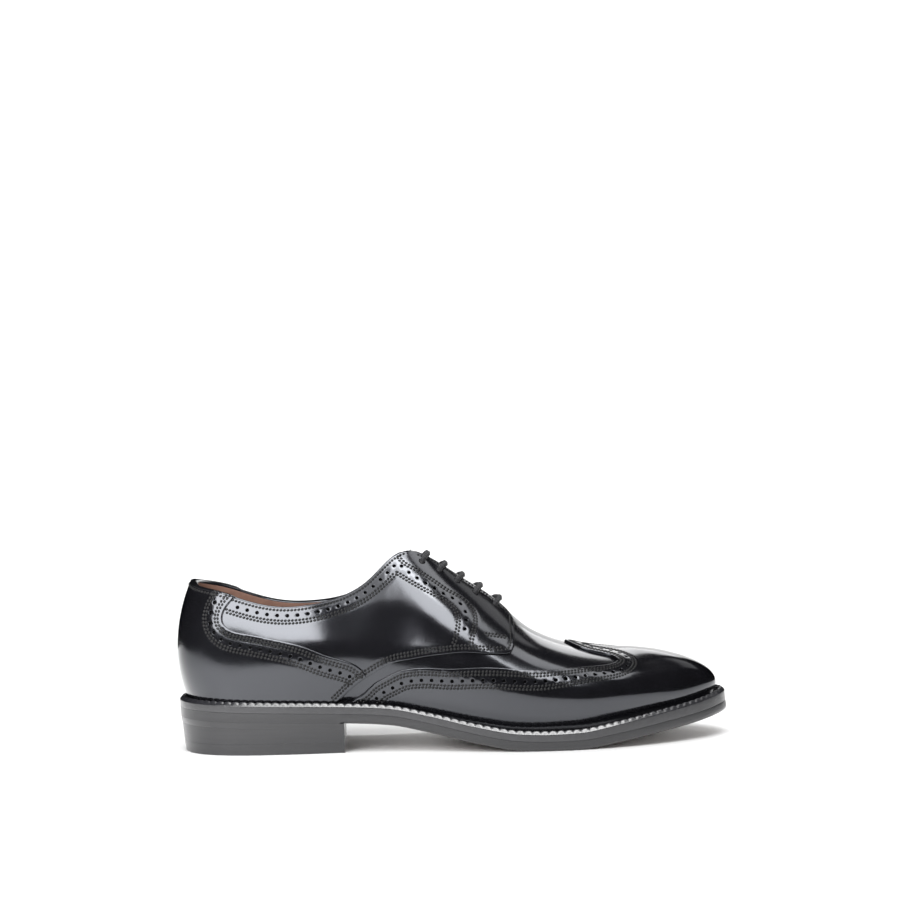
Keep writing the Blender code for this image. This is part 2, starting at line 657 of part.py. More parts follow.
def heel_outline(inset):
    """Outline of the heel from the lateral breast round the back, closed by a hollow breast."""
    u = np.linspace(0.0, 0.5, HEEL_TRACE)
    lateral = LAST.sole_edge(u, inset)
    medial = LAST.sole_edge(1.0 - u, inset)
    lateral = lateral[lateral[:, 0] < HEEL_BREAST_X]
    medial = medial[medial[:, 0] < HEEL_BREAST_X]
    back = np.concatenate([lateral[::-1], medial[1:]])
    flat = evenly(np.column_stack([back, np.zeros(len(back))]), HEEL_POINTS)[:, :2]
    flat[0, 0] = HEEL_BREAST_X
    flat[-1, 0] = HEEL_BREAST_X
    share = np.linspace(0.0, 1.0, BREAST_POINTS)[1:-1]
    breast_y = flat[-1, 1] + (flat[0, 1] - flat[-1, 1]) * share
    breast_x = HEEL_BREAST_X - HEEL_BREAST_HOLLOW * np.sin(np.pi * share)
    return np.concatenate([flat, np.column_stack([breast_x, breast_y])])


def heel_piece_mesh(top_of, bottom_of, top_inset, bottom_inset):
    """One layer of the heel between two heights, each a function of x."""
    rings = []
    for height_of, inset in ((top_of, top_inset), (bottom_of, bottom_inset)):
        outline = heel_outline(inset)
        rings.append(np.column_stack([outline, height_of(outline[:, 0])]))
    n = len(rings[0])
    faces = bridged(n, 2)
    faces.append(tuple(range(n - 1, -1, -1)))
    faces.append(tuple(range(n, 2 * n)))
    return np.concatenate(rings), faces


def heel_pieces():
    """Name and mesh of each layer of the heel, from the sole down."""
    def under_sole(x):
        return tread_height(x) - GAP

    def under_first(x):
        return under_sole(x) - FIRST_LIFT_DEPTH

    def first_seat(x):
        return under_first(x) - GAP

    def over_top_piece(x):
        return np.full_like(x, TOP_PIECE_DEPTH + GAP)

    def top_piece_seat(x):
        return np.full_like(x, TOP_PIECE_DEPTH)

    def floor(x):
        return np.zeros_like(x)

    middle = HEEL_INSET + 0.25 * HEEL_TAPER
    low = HEEL_INSET + 0.7 * HEEL_TAPER
    return (("heel_lift_1", heel_piece_mesh(under_sole, under_first, HEEL_INSET, middle)),
            ("heel_lift_2", heel_piece_mesh(first_seat, over_top_piece, middle, low)),
            ("heel_top_piece", heel_piece_mesh(top_piece_seat, floor, low, HEEL_INSET + HEEL_TAPER)))


def material(finish):
    found = bpy.data.materials.get(finish.name)
    if found:
        return found
    made = bpy.data.materials.new(finish.name)
    made.use_nodes = True
    shader = made.node_tree.nodes["Principled BSDF"]
    shader.inputs["Base Color"].default_value = finish.color
    shader.inputs["Roughness"].default_value = finish.roughness
    shader.inputs["Metallic"].default_value = 0.0
    return made


def add_piece(name, shape, finish, parent):
    vertices, faces = shape
    mesh = bpy.data.meshes.new(name)
    mesh.from_pydata([tuple(p * MM) for p in vertices], [], faces)
    mesh.materials.append(material(finish))
    mesh.shade_smooth()
    mesh.set_sharp_from_angle(angle=np.radians(40))
    piece = bpy.data.objects.new(name, mesh)
    piece.parent = parent
    bpy.context.scene.collection.objects.link(piece)


def main():
    for old in list(bpy.data.objects):
        bpy.data.objects.remove(old, do_unlink=True)
    shoe = bpy.data.objects.new("full_brogue_derby", None)
    bpy.context.scene.collection.objects.link(shoe)
    add_piece("outsole", outsole_mesh(), EDGE, shoe)
    add_piece("welt", welt_mesh(), WELTING, shoe)
    for name, shape in heel_pieces():
        add_piece(name, shape, EDGE, shoe)
    add_piece("insole", insole_mesh(), LINING, shoe)
    add_piece("upper", upper_mesh(), CALF, shoe)
    add_piece("wing_cap", wing_mesh(), CALF, shoe)
    add_piece("quarter_lateral", quarter_mesh(-1), CALF, shoe)
    add_piece("quarter_medial", quarter_mesh(1), CALF, shoe)
    add_piece("heel_foxing", foxing_mesh(), CALF, shoe)
    add_piece("tongue", tongue_mesh(), CALF, shoe)
    for number, eyelet in enumerate(EYELETS, 1):
        add_piece(f"lace_bar_{number}", lace_bar_mesh(eyelet), CORD, shoe)


main()
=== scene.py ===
"""Looks of the full brogue derby: leathers, punching, stitching, welt, laces, light and camera.

The last is the same function of two numbers as in the part: along (0 heel back, 1 toe tip) and
up (0 feather line, 1 top line). Shapes are worked out in millimetres and stored in metres.
"""
from collections import namedtuple

import bpy
import numpy as np
from mathutils import Matrix
from mathutils.geometry import delaunay_2d_cdt
from mathutils.kdtree import KDTree


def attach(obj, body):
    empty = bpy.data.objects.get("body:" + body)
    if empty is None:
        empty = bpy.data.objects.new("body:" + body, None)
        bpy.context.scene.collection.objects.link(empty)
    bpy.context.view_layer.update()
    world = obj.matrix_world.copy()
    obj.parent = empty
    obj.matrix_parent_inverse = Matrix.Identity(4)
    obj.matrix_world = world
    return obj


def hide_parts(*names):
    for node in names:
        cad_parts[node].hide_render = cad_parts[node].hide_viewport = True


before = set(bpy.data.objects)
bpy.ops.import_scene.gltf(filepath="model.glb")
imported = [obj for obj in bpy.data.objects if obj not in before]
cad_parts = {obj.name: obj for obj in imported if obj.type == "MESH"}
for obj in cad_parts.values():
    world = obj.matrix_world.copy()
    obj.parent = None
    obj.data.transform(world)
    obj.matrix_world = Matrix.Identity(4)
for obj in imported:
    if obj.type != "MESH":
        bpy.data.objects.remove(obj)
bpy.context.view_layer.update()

MM = 0.001

# Driving dimensions of the last, in millimetres
LENGTH = 307.0
BALL_WIDTH = 85.0
INSTEP_HEIGHT = 106.0
HEEL_PITCH = 19.6
TOE_SPRING = 13.4
GAP = 0.3

# Leathers, in millimetres above (or below) the face of the vamp
VAMP = (-0.75, 0.0)
LINING = (-1.6, -0.85)
QUARTER = (0.15, 1.5)
WING = (0.15, 1.5)
FOXING = (1.6, 2.8)
TONGUE_LEATHER = 1.4
LACE_RADIUS = 1.35

# Bottom, in millimetres
WELT_DEPTH = 4.9
OUTSOLE_DEPTH = 4.8
SOLE_STACK = WELT_DEPTH + GAP + OUTSOLE_DEPTH
TREAD_FLAT = 0.15
HEEL_BREAST_X = -61.0
HEEL_BREAST_HOLLOW = 3.0
HEEL_TAPER = 2.4
HEEL_INSET = 0.4
FIRST_LIFT_DEPTH = 3.2
TOP_PIECE_DEPTH = 6.0

# Sewing and punching, in millimetres; slant and start are shares, sides are counted. Stitches are drawn
# wider than real thread, so that each one shows
STITCH_PITCH = 1.95
STITCH_LENGTH = 2.15
STITCH_WIDTH = 1.6
STITCH_SINK = 0.45
STITCH_SLANT = 0.55
EDGE_ROWS = (1.7, 3.3)
PUNCH_ROW = 6.2
LOW_ROWS = (8.5, 10.1)
TOPLINE_ROW = 1.9
TOPLINE_PUNCH_ROW = 4.9
TOPLINE_LOW_ROWS = (7.6, 9.2)
PUNCH_PITCH = 5.6
PUNCH_START = 0.9
PUNCH_RADIUS = 0.95
PUNCH_RUB = 0.35
PUNCH_SIDES = 14
# Radius and thickness of the near-black rounds that paint the shade in the punched holes
UNDERLAY_RADIUS = PUNCH_RADIUS + 0.5
UNDERLAY_THICK = 0.08
EYELET_RADIUS = 1.55
EYELET_SIDES = 20
TAB_ROW = 2.1
FACING_ROW = 1.7
SEAM_DIP = 0.09
SEAM_WIDTH = 0.75
SEAM_MARKS = 0.5
WELT_PITCH = 4.4

# One unit of along and of up as millimetres of leather, the size of each leather's triangles, the height
# of a row of them and the room they leave at edges and holes in shares of that, and the step of a shift
ALONG_MM = 330.0
UP_MM = 75.0
PANEL_STEP = 1.1
BACKING_STEP = 1.7
LINING_STEP = 2.6
LATTICE_ROW = 0.866
EDGE_ROOM = 0.5
HOLE_ROOM = 0.4
SHIFT_STEP = 1.2

# Feather line: x in percent of length, half widths in percent of ball width, welt margin in millimetres
Foot = namedtuple("Foot", "name x lateral medial margin")
FOOT = (
    Foot("heel_back", -47.5, 0.0, 0.0, 7.0),
    Foot("heel_round", -45.8, 17.2, 17.2, 7.0),
    Foot("heel_corner", -41.7, 28.0, 27.8, 6.9),
    Foot("heel_wide", -34.5, 33.6, 33.2, 6.7),
    Foot("seat_front", -25.4, 34.8, 32.5, 6.5),
    Foot("waist_back", -15.3, 34.8, 28.2, 6.2),
    Foot("waist", -5.9, 38.1, 28.7, 6.6),
    Foot("instep", 2.6, 44.2, 34.8, 7.4),
    Foot("tab", 10.4, 48.9, 43.8, 8.2),
    Foot("vamp_point", 13.9, 49.8, 47.3, 8.4),
    Foot("ball", 17.6, 49.9, 49.1, 8.6),
    Foot("forefoot", 25.7, 46.6, 49.3, 8.7),
    Foot("toe_box", 33.6, 38.4, 42.6, 8.8),
    Foot("toe_shoulder", 40.1, 26.6, 30.1, 9.0),
    Foot("toe_round", 45.0, 12.5, 14.1, 9.6),
    Foot("toe_tip", 46.8, 0.0, 0.0, 9.65),
)

# Ribs from the feather line to the top line: x in percent of length, z in percent of instep
# height, y, the pull of the wall at its foot and top and its fullness half-way up in
# millimetres, slope of the ridge
Rib = namedtuple("Rib", "name x y z_lat z_med rise drop belly_lat belly_med reach_lat reach_med slope full")
RIB = (
    Rib("heel_back", -46.5, 0.0, 87.7, 87.7, 20.0, 21.0, 7.2, 7.2, 9.2, 9.2, 0.0, 0.0),
    Rib("heel_round", -45.3, 11.5, 85.3, 86.7, 19.5, 20.5, 6.6, 6.6, 8.8, 8.8, 0.0, 0.0),
    Rib("heel_corner", -41.7, 20.3, 82.9, 83.9, 18.5, 19.5, 5.4, 5.4, 8.2, 8.2, 0.0, -1.0),
    Rib("heel_wide", -34.2, 26.0, 76.5, 76.3, 16.4, 18.8, 4.6, 4.6, 7.2, 7.2, 0.0, -0.1),
    Rib("seat_front", -25.4, 27.7, 75.6, 73.6, 16.6, 17.4, 4.8, 4.6, 7.4, 7.0, 0.0, 1.1),
    Rib("waist_back", -15.3, 21.8, 86.1, 82.4, 14.5, 18.6, 5.5, 5.5, 11.8, 10.8, 0.0, 2.9),
    Rib("waist", -8.0, 9.9, 100.8, 99.8, 10.3, 16.1, 7.4, 7.6, 15.1, 14.1, 0.0, 6.0),
    Rib("instep", 1.0, 5.1, 86.9, 86.7, 14.1, 3.7, 5.3, 5.7, 19.0, 19.0, 0.0, 9.6),
    Rib("tab", 9.2, 1.2, 70.8, 70.8, 16.0, 4.0, 5.0, 5.6, 18.0, 20.0, -0.75, 12.0),
    Rib("vamp_point", 12.4, 0.0, 62.4, 62.4, 15.5, 1.5, 5.2, 5.8, 21.0, 23.5, -0.7, 11.5),
    Rib("ball", 15.2, 0.0, 56.6, 56.6, 15.0, 0.0, 5.4, 6.0, 23.0, 26.0, -0.5, 11.0),
    Rib("forefoot", 22.0, 0.0, 49.0, 49.0, 14.5, 0.0, 6.0, 6.6, 24.0, 27.0, -0.2, 10.0),
    Rib("toe_box", 28.2, 0.0, 45.9, 45.9, 13.5, 0.0, 7.6, 8.0, 24.0, 26.0, -0.1, 5.5),
    Rib("toe_shoulder", 31.9, 0.0, 45.3, 45.3, 12.5, 0.0, 10.0, 10.2, 25.0, 26.0, -0.1, 0.5),
    Rib("toe_round", 34.0, 0.0, 44.8, 44.8, 11.5, 0.0, 12.6, 12.6, 26.0, 26.0, -0.11, -0.5),
    Rib("toe_tip", 34.6, 0.0, 44.6, 44.6, 11.0, 0.0, 13.4, 13.4, 26.0, 26.0, -0.12, 0.0),
)

# Side view of the sole: x in percent of length, lift in percent of heel pitch and toe spring
Lift = namedtuple("Lift", "x heel toe")
LIFT = (
    Lift(-50.0, 100.0, 0.0),
    Lift(-33.0, 91.0, 0.0),
    Lift(-19.5, 83.0, 0.0),
    Lift(-12.0, 75.0, 0.0),
    Lift(-4.6, 52.0, 0.0),
    Lift(3.3, 23.0, 0.0),
    Lift(11.0, 3.0, 0.0),
    Lift(16.0, 0.0, 0.0),
    Lift(21.0, 0.0, 1.0),
    Lift(28.5, 0.0, 22.0),
    Lift(36.5, 0.0, 50.0),
    Lift(43.0, 0.0, 71.0),
    Lift(50.0, 0.0, 100.0),
)

# Cut lines of the leathers, as (along, up)
LEATHER_FOOT = 0.015
LINING_FOOT = 0.02
COLLAR_TOP = 0.986
CENTRE_BACK = 0.0006
THROAT_START = (0.45, 1.0)
COLLAR_END = (0.43, COLLAR_TOP)
QUARTER_THROAT = (0.46, 0.998)
QUARTER_COLLAR = (0.435, COLLAR_TOP)
QUARTER_FRONT = (
    (0.296, LEATHER_FOOT), (0.311, 0.110), (0.333, 0.223), (0.356, 0.299), (0.400, 0.373),
    (0.431, 0.390), (0.467, 0.412), (0.500, 0.437), (0.533, 0.468), (0.564, 0.493), (0.597, 0.535),
)
QUARTER_TAB = ((0.597, 0.535), (0.608, 0.560), (0.615, 0.610), (0.619, 0.735), (0.620, 0.860))
QUARTER_FACING = ((0.620, 0.860), (0.612, 0.925), (0.592, 0.958), (0.560, 0.980), (0.525, 0.996))
FOXING_FRONT = ((0.292, LEATHER_FOOT), (0.307, 0.110), (0.329, 0.223), (0.347, 0.283))
FOXING_TOP = (
    (0.347, 0.283), (0.340, 0.330), (0.284, 0.474), (0.237, 0.603), (0.194, 0.672), (0.148, 0.688),
    (0.118, 0.695), (0.109, 0.735), (0.107, 0.777), (0.109, 0.845), (0.123, COLLAR_TOP),
)
WING_EDGE = (
    (0.322, LEATHER_FOOT), (0.345, 0.118), (0.362, 0.207), (0.385, 0.267), (0.410, 0.314),
    (0.435, 0.335), (0.465, 0.347), (0.497, 0.356), (0.578, 0.423), (0.676, 0.522), (0.738, 0.595),
    (0.774, 0.623), (0.796, 0.657), (0.808, 0.710), (0.806, 0.750), (0.780, 0.818), (0.749, 0.893),
    (0.737, 1.0),
)
FOXING_COLLAR_SEAM = ((0.0, 1.0), (0.118, 1.0))
COLLAR_SEAM = ((0.122, 1.0), (0.435, 1.0))
COLLAR_LOW_SEAM = ((0.118, 1.0), (0.412, 1.0))
COLLAR_PUNCH = ((0.128, 1.0), (0.418, 1.0))
COLLAR_CORNER = (0.419, 0.858)
COLLAR_TURN = 6
FACING_INNER = (
    COLLAR_CORNER, (0.447, 0.783), (0.481, 0.734), (0.508, 0.713), (0.524, 0.686), (0.529, 0.647),
    (0.528, 0.593), (0.520, 0.508), (0.517, 0.485),
)
FACING_OUTER = (
    (0.424, 0.980), (0.432, 0.922), (0.458, 0.852), (0.491, 0.809), (0.514, 0.783), (0.540, 0.767),
    (0.554, 0.720), (0.556, 0.645), (0.550, 0.565), (0.546, 0.514),
)
FACING_PUNCH = (
    (0.425, 0.912), (0.452, 0.819), (0.485, 0.770), (0.511, 0.748), (0.535, 0.726), (0.542, 0.682),
    (0.541, 0.622), (0.535, 0.546),
)
TACK = ((0.569, 0.601), (0.604, 0.645))
EYELETS = ((0.471, 0.922), (0.499, 0.915), (0.527, 0.901), (0.557, 0.883), (0.590, 0.882))
LACE_LEAN = 0.005


def cubic_line(knots, values, cyclic=False):
    """Cubic with continuous bend through values at knots; cyclic means a period of one."""
    t = np.asarray(knots, float)
    y = np.asarray(values, float)
    n = len(t)
    h = np.roll(t, -1) - t
    if cyclic:
        h[-1] += 1.0
    else:
        h[-1] = 1.0
    rate = (np.roll(y, -1) - y) / h
    bend = np.zeros((n, n))
    for i in range(n):
        bend[i, i - 1] += h[i - 1]
        bend[i, i] += 2 * (h[i - 1] + h[i])
        bend[i, (i + 1) % n] += h[i]
    turn = 6 * (rate - np.roll(rate, 1))
    if not cyclic:
        for end in (0, n - 1):
            bend[end] = 0.0
            bend[end, end] = 1.0
            turn[end] = 0.0
    m = np.linalg.solve(bend, turn)

    def value(s):
        s = np.asarray(s, float)
        if cyclic:
            s = np.mod(s, 1.0)
        i = np.clip(np.searchsorted(t, s, side="right") - 1, 0, n - 1 if cyclic else n - 2)
        j = (i + 1) % n
        p = (s - t[i]) / h[i]
        q = 1.0 - p
        return q * y[i] + p * y[j] + h[i] ** 2 / 6 * ((q ** 3 - q) * m[i] + (p ** 3 - p) * m[j])
    return value


def steady_line(knots, values):
    """Smooth line through values at knots that never overshoots them."""
    t = np.asarray(knots, float)
    y = np.asarray(values, float)
    h = np.diff(t)
    rate = np.diff(y) / h
    slope = np.concatenate([rate[:1], np.zeros(len(t) - 2), rate[-1:]])
    for i in range(1, len(t) - 1):
        if rate[i - 1] * rate[i] > 0:
            before = 2 * h[i] + h[i - 1]
            after = h[i] + 2 * h[i - 1]
            slope[i] = (before + after) / (before / rate[i - 1] + after / rate[i])

    def value(s):
        s = np.clip(np.asarray(s, float), t[0], t[-1])
        i = np.clip(np.searchsorted(t, s, side="right") - 1, 0, len(h) - 1)
        p = (s - t[i]) / h[i]
        q = 1.0 - p
        ends = y[i] * q * q * (1 + 2 * p) + y[i + 1] * p * p * (1 + 2 * q)
        return ends + h[i] * (slope[i] * p * q * q - slope[i + 1] * p * p * q)
    return value


def unit(vectors):
    """Vectors brought to a length of one."""
    return vectors / np.maximum(np.linalg.norm(vectors, axis=-1, keepdims=True), 1e-12)


class Last:
    """The last as a surface: u runs once round it (heel, lateral, toe, medial), v runs up it."""

    TOP_SPREAD = np.linspace(-0.03, 0.03, 9)
    STEP = 1e-3
    POLE = 0.995

    def __init__(self):
        x = np.array([row.x for row in FOOT]) * LENGTH / 100
        lateral = np.array([row.lateral for row in FOOT]) * BALL_WIDTH / 100
        medial = np.array([row.medial for row in FOOT]) * BALL_WIDTH / 100
        girth = np.hypot(np.diff(x), np.diff(lateral)) + np.hypot(np.diff(x), np.diff(medial))
        self.along = np.concatenate([[0.0], np.cumsum(girth)]) / girth.sum()
        self.foot_x = self.loop(x, x)
        self.foot_y = self.loop(-lateral, medial)
        self.margin = self.column(FOOT, "margin")
        self.top_x = self.column(RIB, "x", scale=LENGTH / 100)
        self.top_z = self.column(RIB, "z_lat", "z_med", INSTEP_HEIGHT / 100)
        self.rise = self.column(RIB, "rise")
        self.drop = self.column(RIB, "drop")
        self.slope = self.column(RIB, "slope")
        self.full = self.column(RIB, "full")
        self.belly = self.column(RIB, "belly_lat", "belly_med")
        self.reach = self.column(RIB, "reach_lat", "reach_med")
        self.half_gap = steady_line(self.along, [row.y for row in RIB])
        lift = [SOLE_STACK + (HEEL_PITCH * row.heel + TOE_SPRING * row.toe) / 100 for row in LIFT]
        self.seat = steady_line([row.x * LENGTH / 100 for row in LIFT], lift)

    def loop(self, lateral, medial):
        knots = list(self.along / 2) + list(1 - self.along / 2)[-2:0:-1]
        return cubic_line(knots, list(lateral) + list(medial)[-2:0:-1], cyclic=True)

    def column(self, table, lateral, medial=None, scale=1.0):
        """A column of a table as a line round the last, or two columns, one for each side."""
        sides = [[getattr(row, name) * scale for row in table] for name in (lateral, medial or lateral)]
        return self.loop(*sides)

    def top_y(self, u):
        u = np.mod(u, 1.0)
        along = 2 * np.minimum(u, 1 - u)
        total = np.zeros_like(along)
        for shift in self.TOP_SPREAD:
            place = along + shift
            folded = np.minimum(np.abs(place), 2 - np.abs(place))
            total += np.sign(place) * self.half_gap(folded)
        return np.where(u < 0.5, -total, total) / len(self.TOP_SPREAD)

    def foot(self, u):
        return np.stack([self.foot_x(u), self.foot_y(u)], -1)

    def outward(self, u):
        along_foot = self.foot(u + self.STEP) - self.foot(u - self.STEP)
        return unit(np.stack([along_foot[..., 1], -along_foot[..., 0]], -1))

    def sole_edge(self, u, inset=0.0):
        return self.foot(u) + self.outward(u) * (self.margin(u) - inset)[..., None]

    def surface(self, u, v):
        u, v = np.broadcast_arrays(np.asarray(u, float), np.asarray(v, float))
        base = self.foot(u)
        flat_out = self.outward(u)
        out = np.concatenate([flat_out, np.zeros_like(flat_out[..., :1])], -1)
        foot = np.stack([base[..., 0], base[..., 1], self.seat(base[..., 0]) + GAP], -1)
        top = np.stack([self.top_x(u), self.top_y(u), self.top_z(u)], -1)
        low = foot + out * self.belly(u)[..., None]
        low[..., 2] += self.rise(u)
        high = top + out * self.reach(u)[..., None]
        high[..., 2] += self.slope(u) * out[..., 0] * self.reach(u) - self.drop(u)
        v = v[..., None]
        w = 1.0 - v
        bulge = (4 * w * v) ** 2 * self.full(u)[..., None]
        return w ** 3 * foot + 3 * w * w * v * low + 3 * w * v * v * high + v ** 3 * top + bulge * out

    def pulls(self, u, v):
        """How far a point moves for one unit of u and for one of v."""
        off_pole = np.minimum(v, self.POLE)
        round_it = self.surface(u + self.STEP, off_pole) - self.surface(u - self.STEP, off_pole)
        up_it = self.surface(u, v + self.STEP) - self.surface(u, v - self.STEP)
        return round_it / (2 * self.STEP), up_it / (2 * self.STEP)

    def normal(self, u, v):
        return unit(np.cross(*self.pulls(u, v)))

    def layer(self, u, v, height):
        return self.surface(u, v) + self.normal(u, v) * np.asarray(height, float)[..., None]


LAST = Last()


# Lines on the last, as arrays of (along, up) on the lateral half

def length_so_far(points):
    return np.concatenate([[0.0], np.cumsum(np.linalg.norm(np.diff(points, axis=0), axis=1))])


def smooth_edge(points, step=PANEL_STEP):
    """A curve through a few (along, up) points, sampled about one step apart."""
    p = np.array(points) * (ALONG_MM, UP_MM)
    reach = length_so_far(p)
    s = np.linspace(0.0, reach[-1], max(1, int(round(reach[-1] / step))) + 1)
    line = np.stack([cubic_line(reach, p[:, 0])(s), cubic_line(reach, p[:, 1])(s)], -1)
    return line / (ALONG_MM, UP_MM)


def straight_edge(start, end, step=PANEL_STEP):
    """A straight line in along and up, sampled about one step apart."""
    start = np.array(start)
    end = np.array(end)
    span = np.linalg.norm((end - start) * (ALONG_MM, UP_MM))
    share = np.linspace(0.0, 1.0, max(1, int(round(span / step))) + 1)[:, None]
    return start + (end - start) * share


def straight_edges(*corners, step=PANEL_STEP):
    """Straight edges from each corner to the next."""
    return [straight_edge(start, end, step) for start, end in zip(corners, corners[1:])]


def ring(*edges):
    """One closed outline from edges that follow each other."""
    return np.concatenate([edge[:-1] for edge in edges])


def placed(line, side=-1):
    """The u and v of a line, on the lateral (-1) or the medial (+1) half."""
    u = line[:, 0] / 2
    return (u if side < 0 else 1.0 - u), line[:, 1]


def moved(line, push):
    """Points moved over the last by short vectors, in millimetres."""
    u, v = placed(line)
    pull_u, pull_v = LAST.pulls(u, v)
    e = (pull_u * pull_u).sum(-1)
    f = (pull_u * pull_v).sum(-1)
    g = (pull_v * pull_v).sum(-1)
    a = (pull_u * push).sum(-1)
    b = (pull_v * push).sum(-1)
    area = e * g - f * f
    return np.stack([line[:, 0] + 2 * (g * a - f * b) / area, v + (e * b - f * a) / area], -1)


def shifted(line, distance):
    """A line moved sideways over the last; a positive distance goes to the left of its travel."""
    steps = max(1, int(np.ceil(abs(distance) / SHIFT_STEP)))
    for _ in range(steps):
        u, v = placed(line)
        heading = unit(np.gradient(LAST.surface(u, v), axis=0))
        left = np.cross(LAST.normal(u, v), heading)
        line = moved(line, left * (distance / steps))
        line = line[(line[:, 1] <= 1.0) & (line[:, 1] >= 0.0)]
    return line


def spaced(line, pitch, side=-1, start=0.5):
    """Places at equal distances along a line, measured on the leather."""
    reach = length_so_far(LAST.surface(*placed(line, side)))
    s = np.arange(start * pitch, reach[-1], pitch)
    return np.stack([np.interp(s, reach, line[:, k]) for k in range(2)], -1)


def punched(line, radius, sides=PUNCH_SIDES):
    """The outline of a round hole at each place of a line."""
    u, v = placed(line)
    n = LAST.normal(u, v)
    across = unit(LAST.pulls(u, v)[1])
    level = np.cross(across, n)
    loops = []
    for turn in np.arange(sides) * 2 * np.pi / sides:
        loops.append(moved(line, radius * (np.cos(turn) * level + np.sin(turn) * across)))
    return [np.array(loop) for loop in np.swapaxes(np.array(loops), 0, 1)]


# Leathers cut from the last

def clear_of(points, outline, room):
    """Which lattice points lie in an outline and clear of its edge, in leather millimetres."""
    a = outline * (ALONG_MM, UP_MM)
    b = np.roll(a, -1, axis=0)
    p = points * (ALONG_MM, UP_MM)
    inside = np.zeros(len(p), bool)
    near = np.zeros(len(p), bool)
    for start, end in zip(a, b):
        run = end - start
        if run[1] != 0.0:
            spans = (start[1] > p[:, 1]) != (end[1] > p[:, 1])
            inside ^= spans & (p[:, 0] < start[0] + (p[:, 1] - start[1]) / run[1] * run[0])
        share = np.clip(((p - start) @ run) / max(run @ run, 1e-9), 0, 1)
        gap = p - start - share[:, None] * run
        near |= (gap * gap).sum(1) < room * room
    return inside, near


def half_patch(outline, holes=(), step=PANEL_STEP):
    """Triangles over one half of the last inside an outline and round its holes."""
    rows = int(UP_MM / (step * LATTICE_ROW))
    columns = int(ALONG_MM / step)
    grid_along, grid_row = np.meshgrid(np.arange(columns + 1), np.arange(rows + 1))
    lattice = np.stack([(grid_along + 0.5 * (grid_row % 2)) / columns, grid_row / rows], -1)
    lattice = lattice.reshape(-1, 2)
    box = (lattice >= outline.min(axis=0)) & (lattice <= outline.max(axis=0))
    lattice = lattice[box.all(axis=1)]
    inside, near = clear_of(lattice, outline, EDGE_ROOM * step)
    keep = inside & ~near
    for hole in holes:
        off = (lattice - hole.mean(axis=0)) * (ALONG_MM, UP_MM)
        reach = np.linalg.norm((hole - hole.mean(axis=0)) * (ALONG_MM, UP_MM), axis=1).max()
        keep &= (off * off).sum(axis=1) > (reach + HOLE_ROOM * step) ** 2
    loops = [outline] + list(holes)
    points = np.concatenate(loops + [lattice[keep]])
    owner = [np.full(len(loop), k) for k, loop in enumerate(loops)]
    owner = np.concatenate(owner + [np.zeros(keep.sum(), int)])
    edges = []
    first = 0
    for loop in loops:
        n = len(loop)
        edges += [(first + i, first + (i + 1) % n) for i in range(n)]
        first += n
    flat = [tuple(p) for p in points * (ALONG_MM, UP_MM)]
    found, _, faces, origin, _, _ = delaunay_2d_cdt(flat, edges, [], 1, 1e-5)
    owner = np.array([owner[o[0]] if o else 0 for o in origin])
    faces = np.array([tuple(f) for f in faces])
    in_hole = (owner[faces[:, 0]] > 0) & (owner[faces] == owner[faces[:, :1]]).all(axis=1)
    return np.array([tuple(p) for p in found]) / (ALONG_MM, UP_MM), faces[~in_hole]


def side_sheet(outline, side, holes=(), step=PANEL_STEP):
    """Points, normals and triangles of a leather on one half of the last."""
    flat, faces = half_patch(outline, holes, step)
    u, v = placed(flat, side)
    if side > 0:
        faces = faces[:, ::-1]
    return LAST.surface(u, v), LAST.normal(u, v), faces


def whole_sheet(outline, holes=(), step=PANEL_STEP, weld=0.05):
    """Points, normals and triangles of a leather on both halves, joined on the centre line."""
    flat, faces = half_patch(outline, holes, step)
    near = placed(flat, -1)
    far = placed(flat, 1)
    lateral, medial = LAST.surface(*near), LAST.surface(*far)
    lateral_out, medial_out = LAST.normal(*near), LAST.normal(*far)
    joined = np.linalg.norm(lateral - medial, axis=1) < weld
    lateral_out[joined] = unit(lateral_out[joined] + medial_out[joined])
    n = len(flat)
    twin = np.where(joined, np.arange(n), n + np.cumsum(~joined) - 1)
    points = np.concatenate([lateral, medial[~joined]])
    normals = np.concatenate([lateral_out, medial_out[~joined]])
    return points, normals, np.concatenate([faces, twin[faces][:, ::-1]])


def rims(faces):
    """The closed loops of vertices round the edge and the holes of a sheet."""
    sides = np.concatenate([faces[:, [0, 1]], faces[:, [1, 2]], faces[:, [2, 0]]])
    known = {tuple(side) for side in sides}
    onward = {a: b for a, b in known if (b, a) not in known}
    loops = []
    while onward:
        start, spot = next(iter(onward.items()))
        loop = [start]
        del onward[start]
        while spot != start:
            loop.append(spot)
            spot = onward.pop(spot)
        loops.append(np.array(loop))
    return loops


# A cut and rubbed edge of leather: how far out, and how far down from its face
Round = namedtuple("Round", "out down")
RUBBED_EDGE = (Round(0.16, 0.03), Round(0.30, 0.12), Round(0.38, 0.26), Round(0.40, 0.45))
PUNCH_LOOP = PUNCH_RADIUS + PUNCH_RUB * RUBBED_EDGE[-1].out


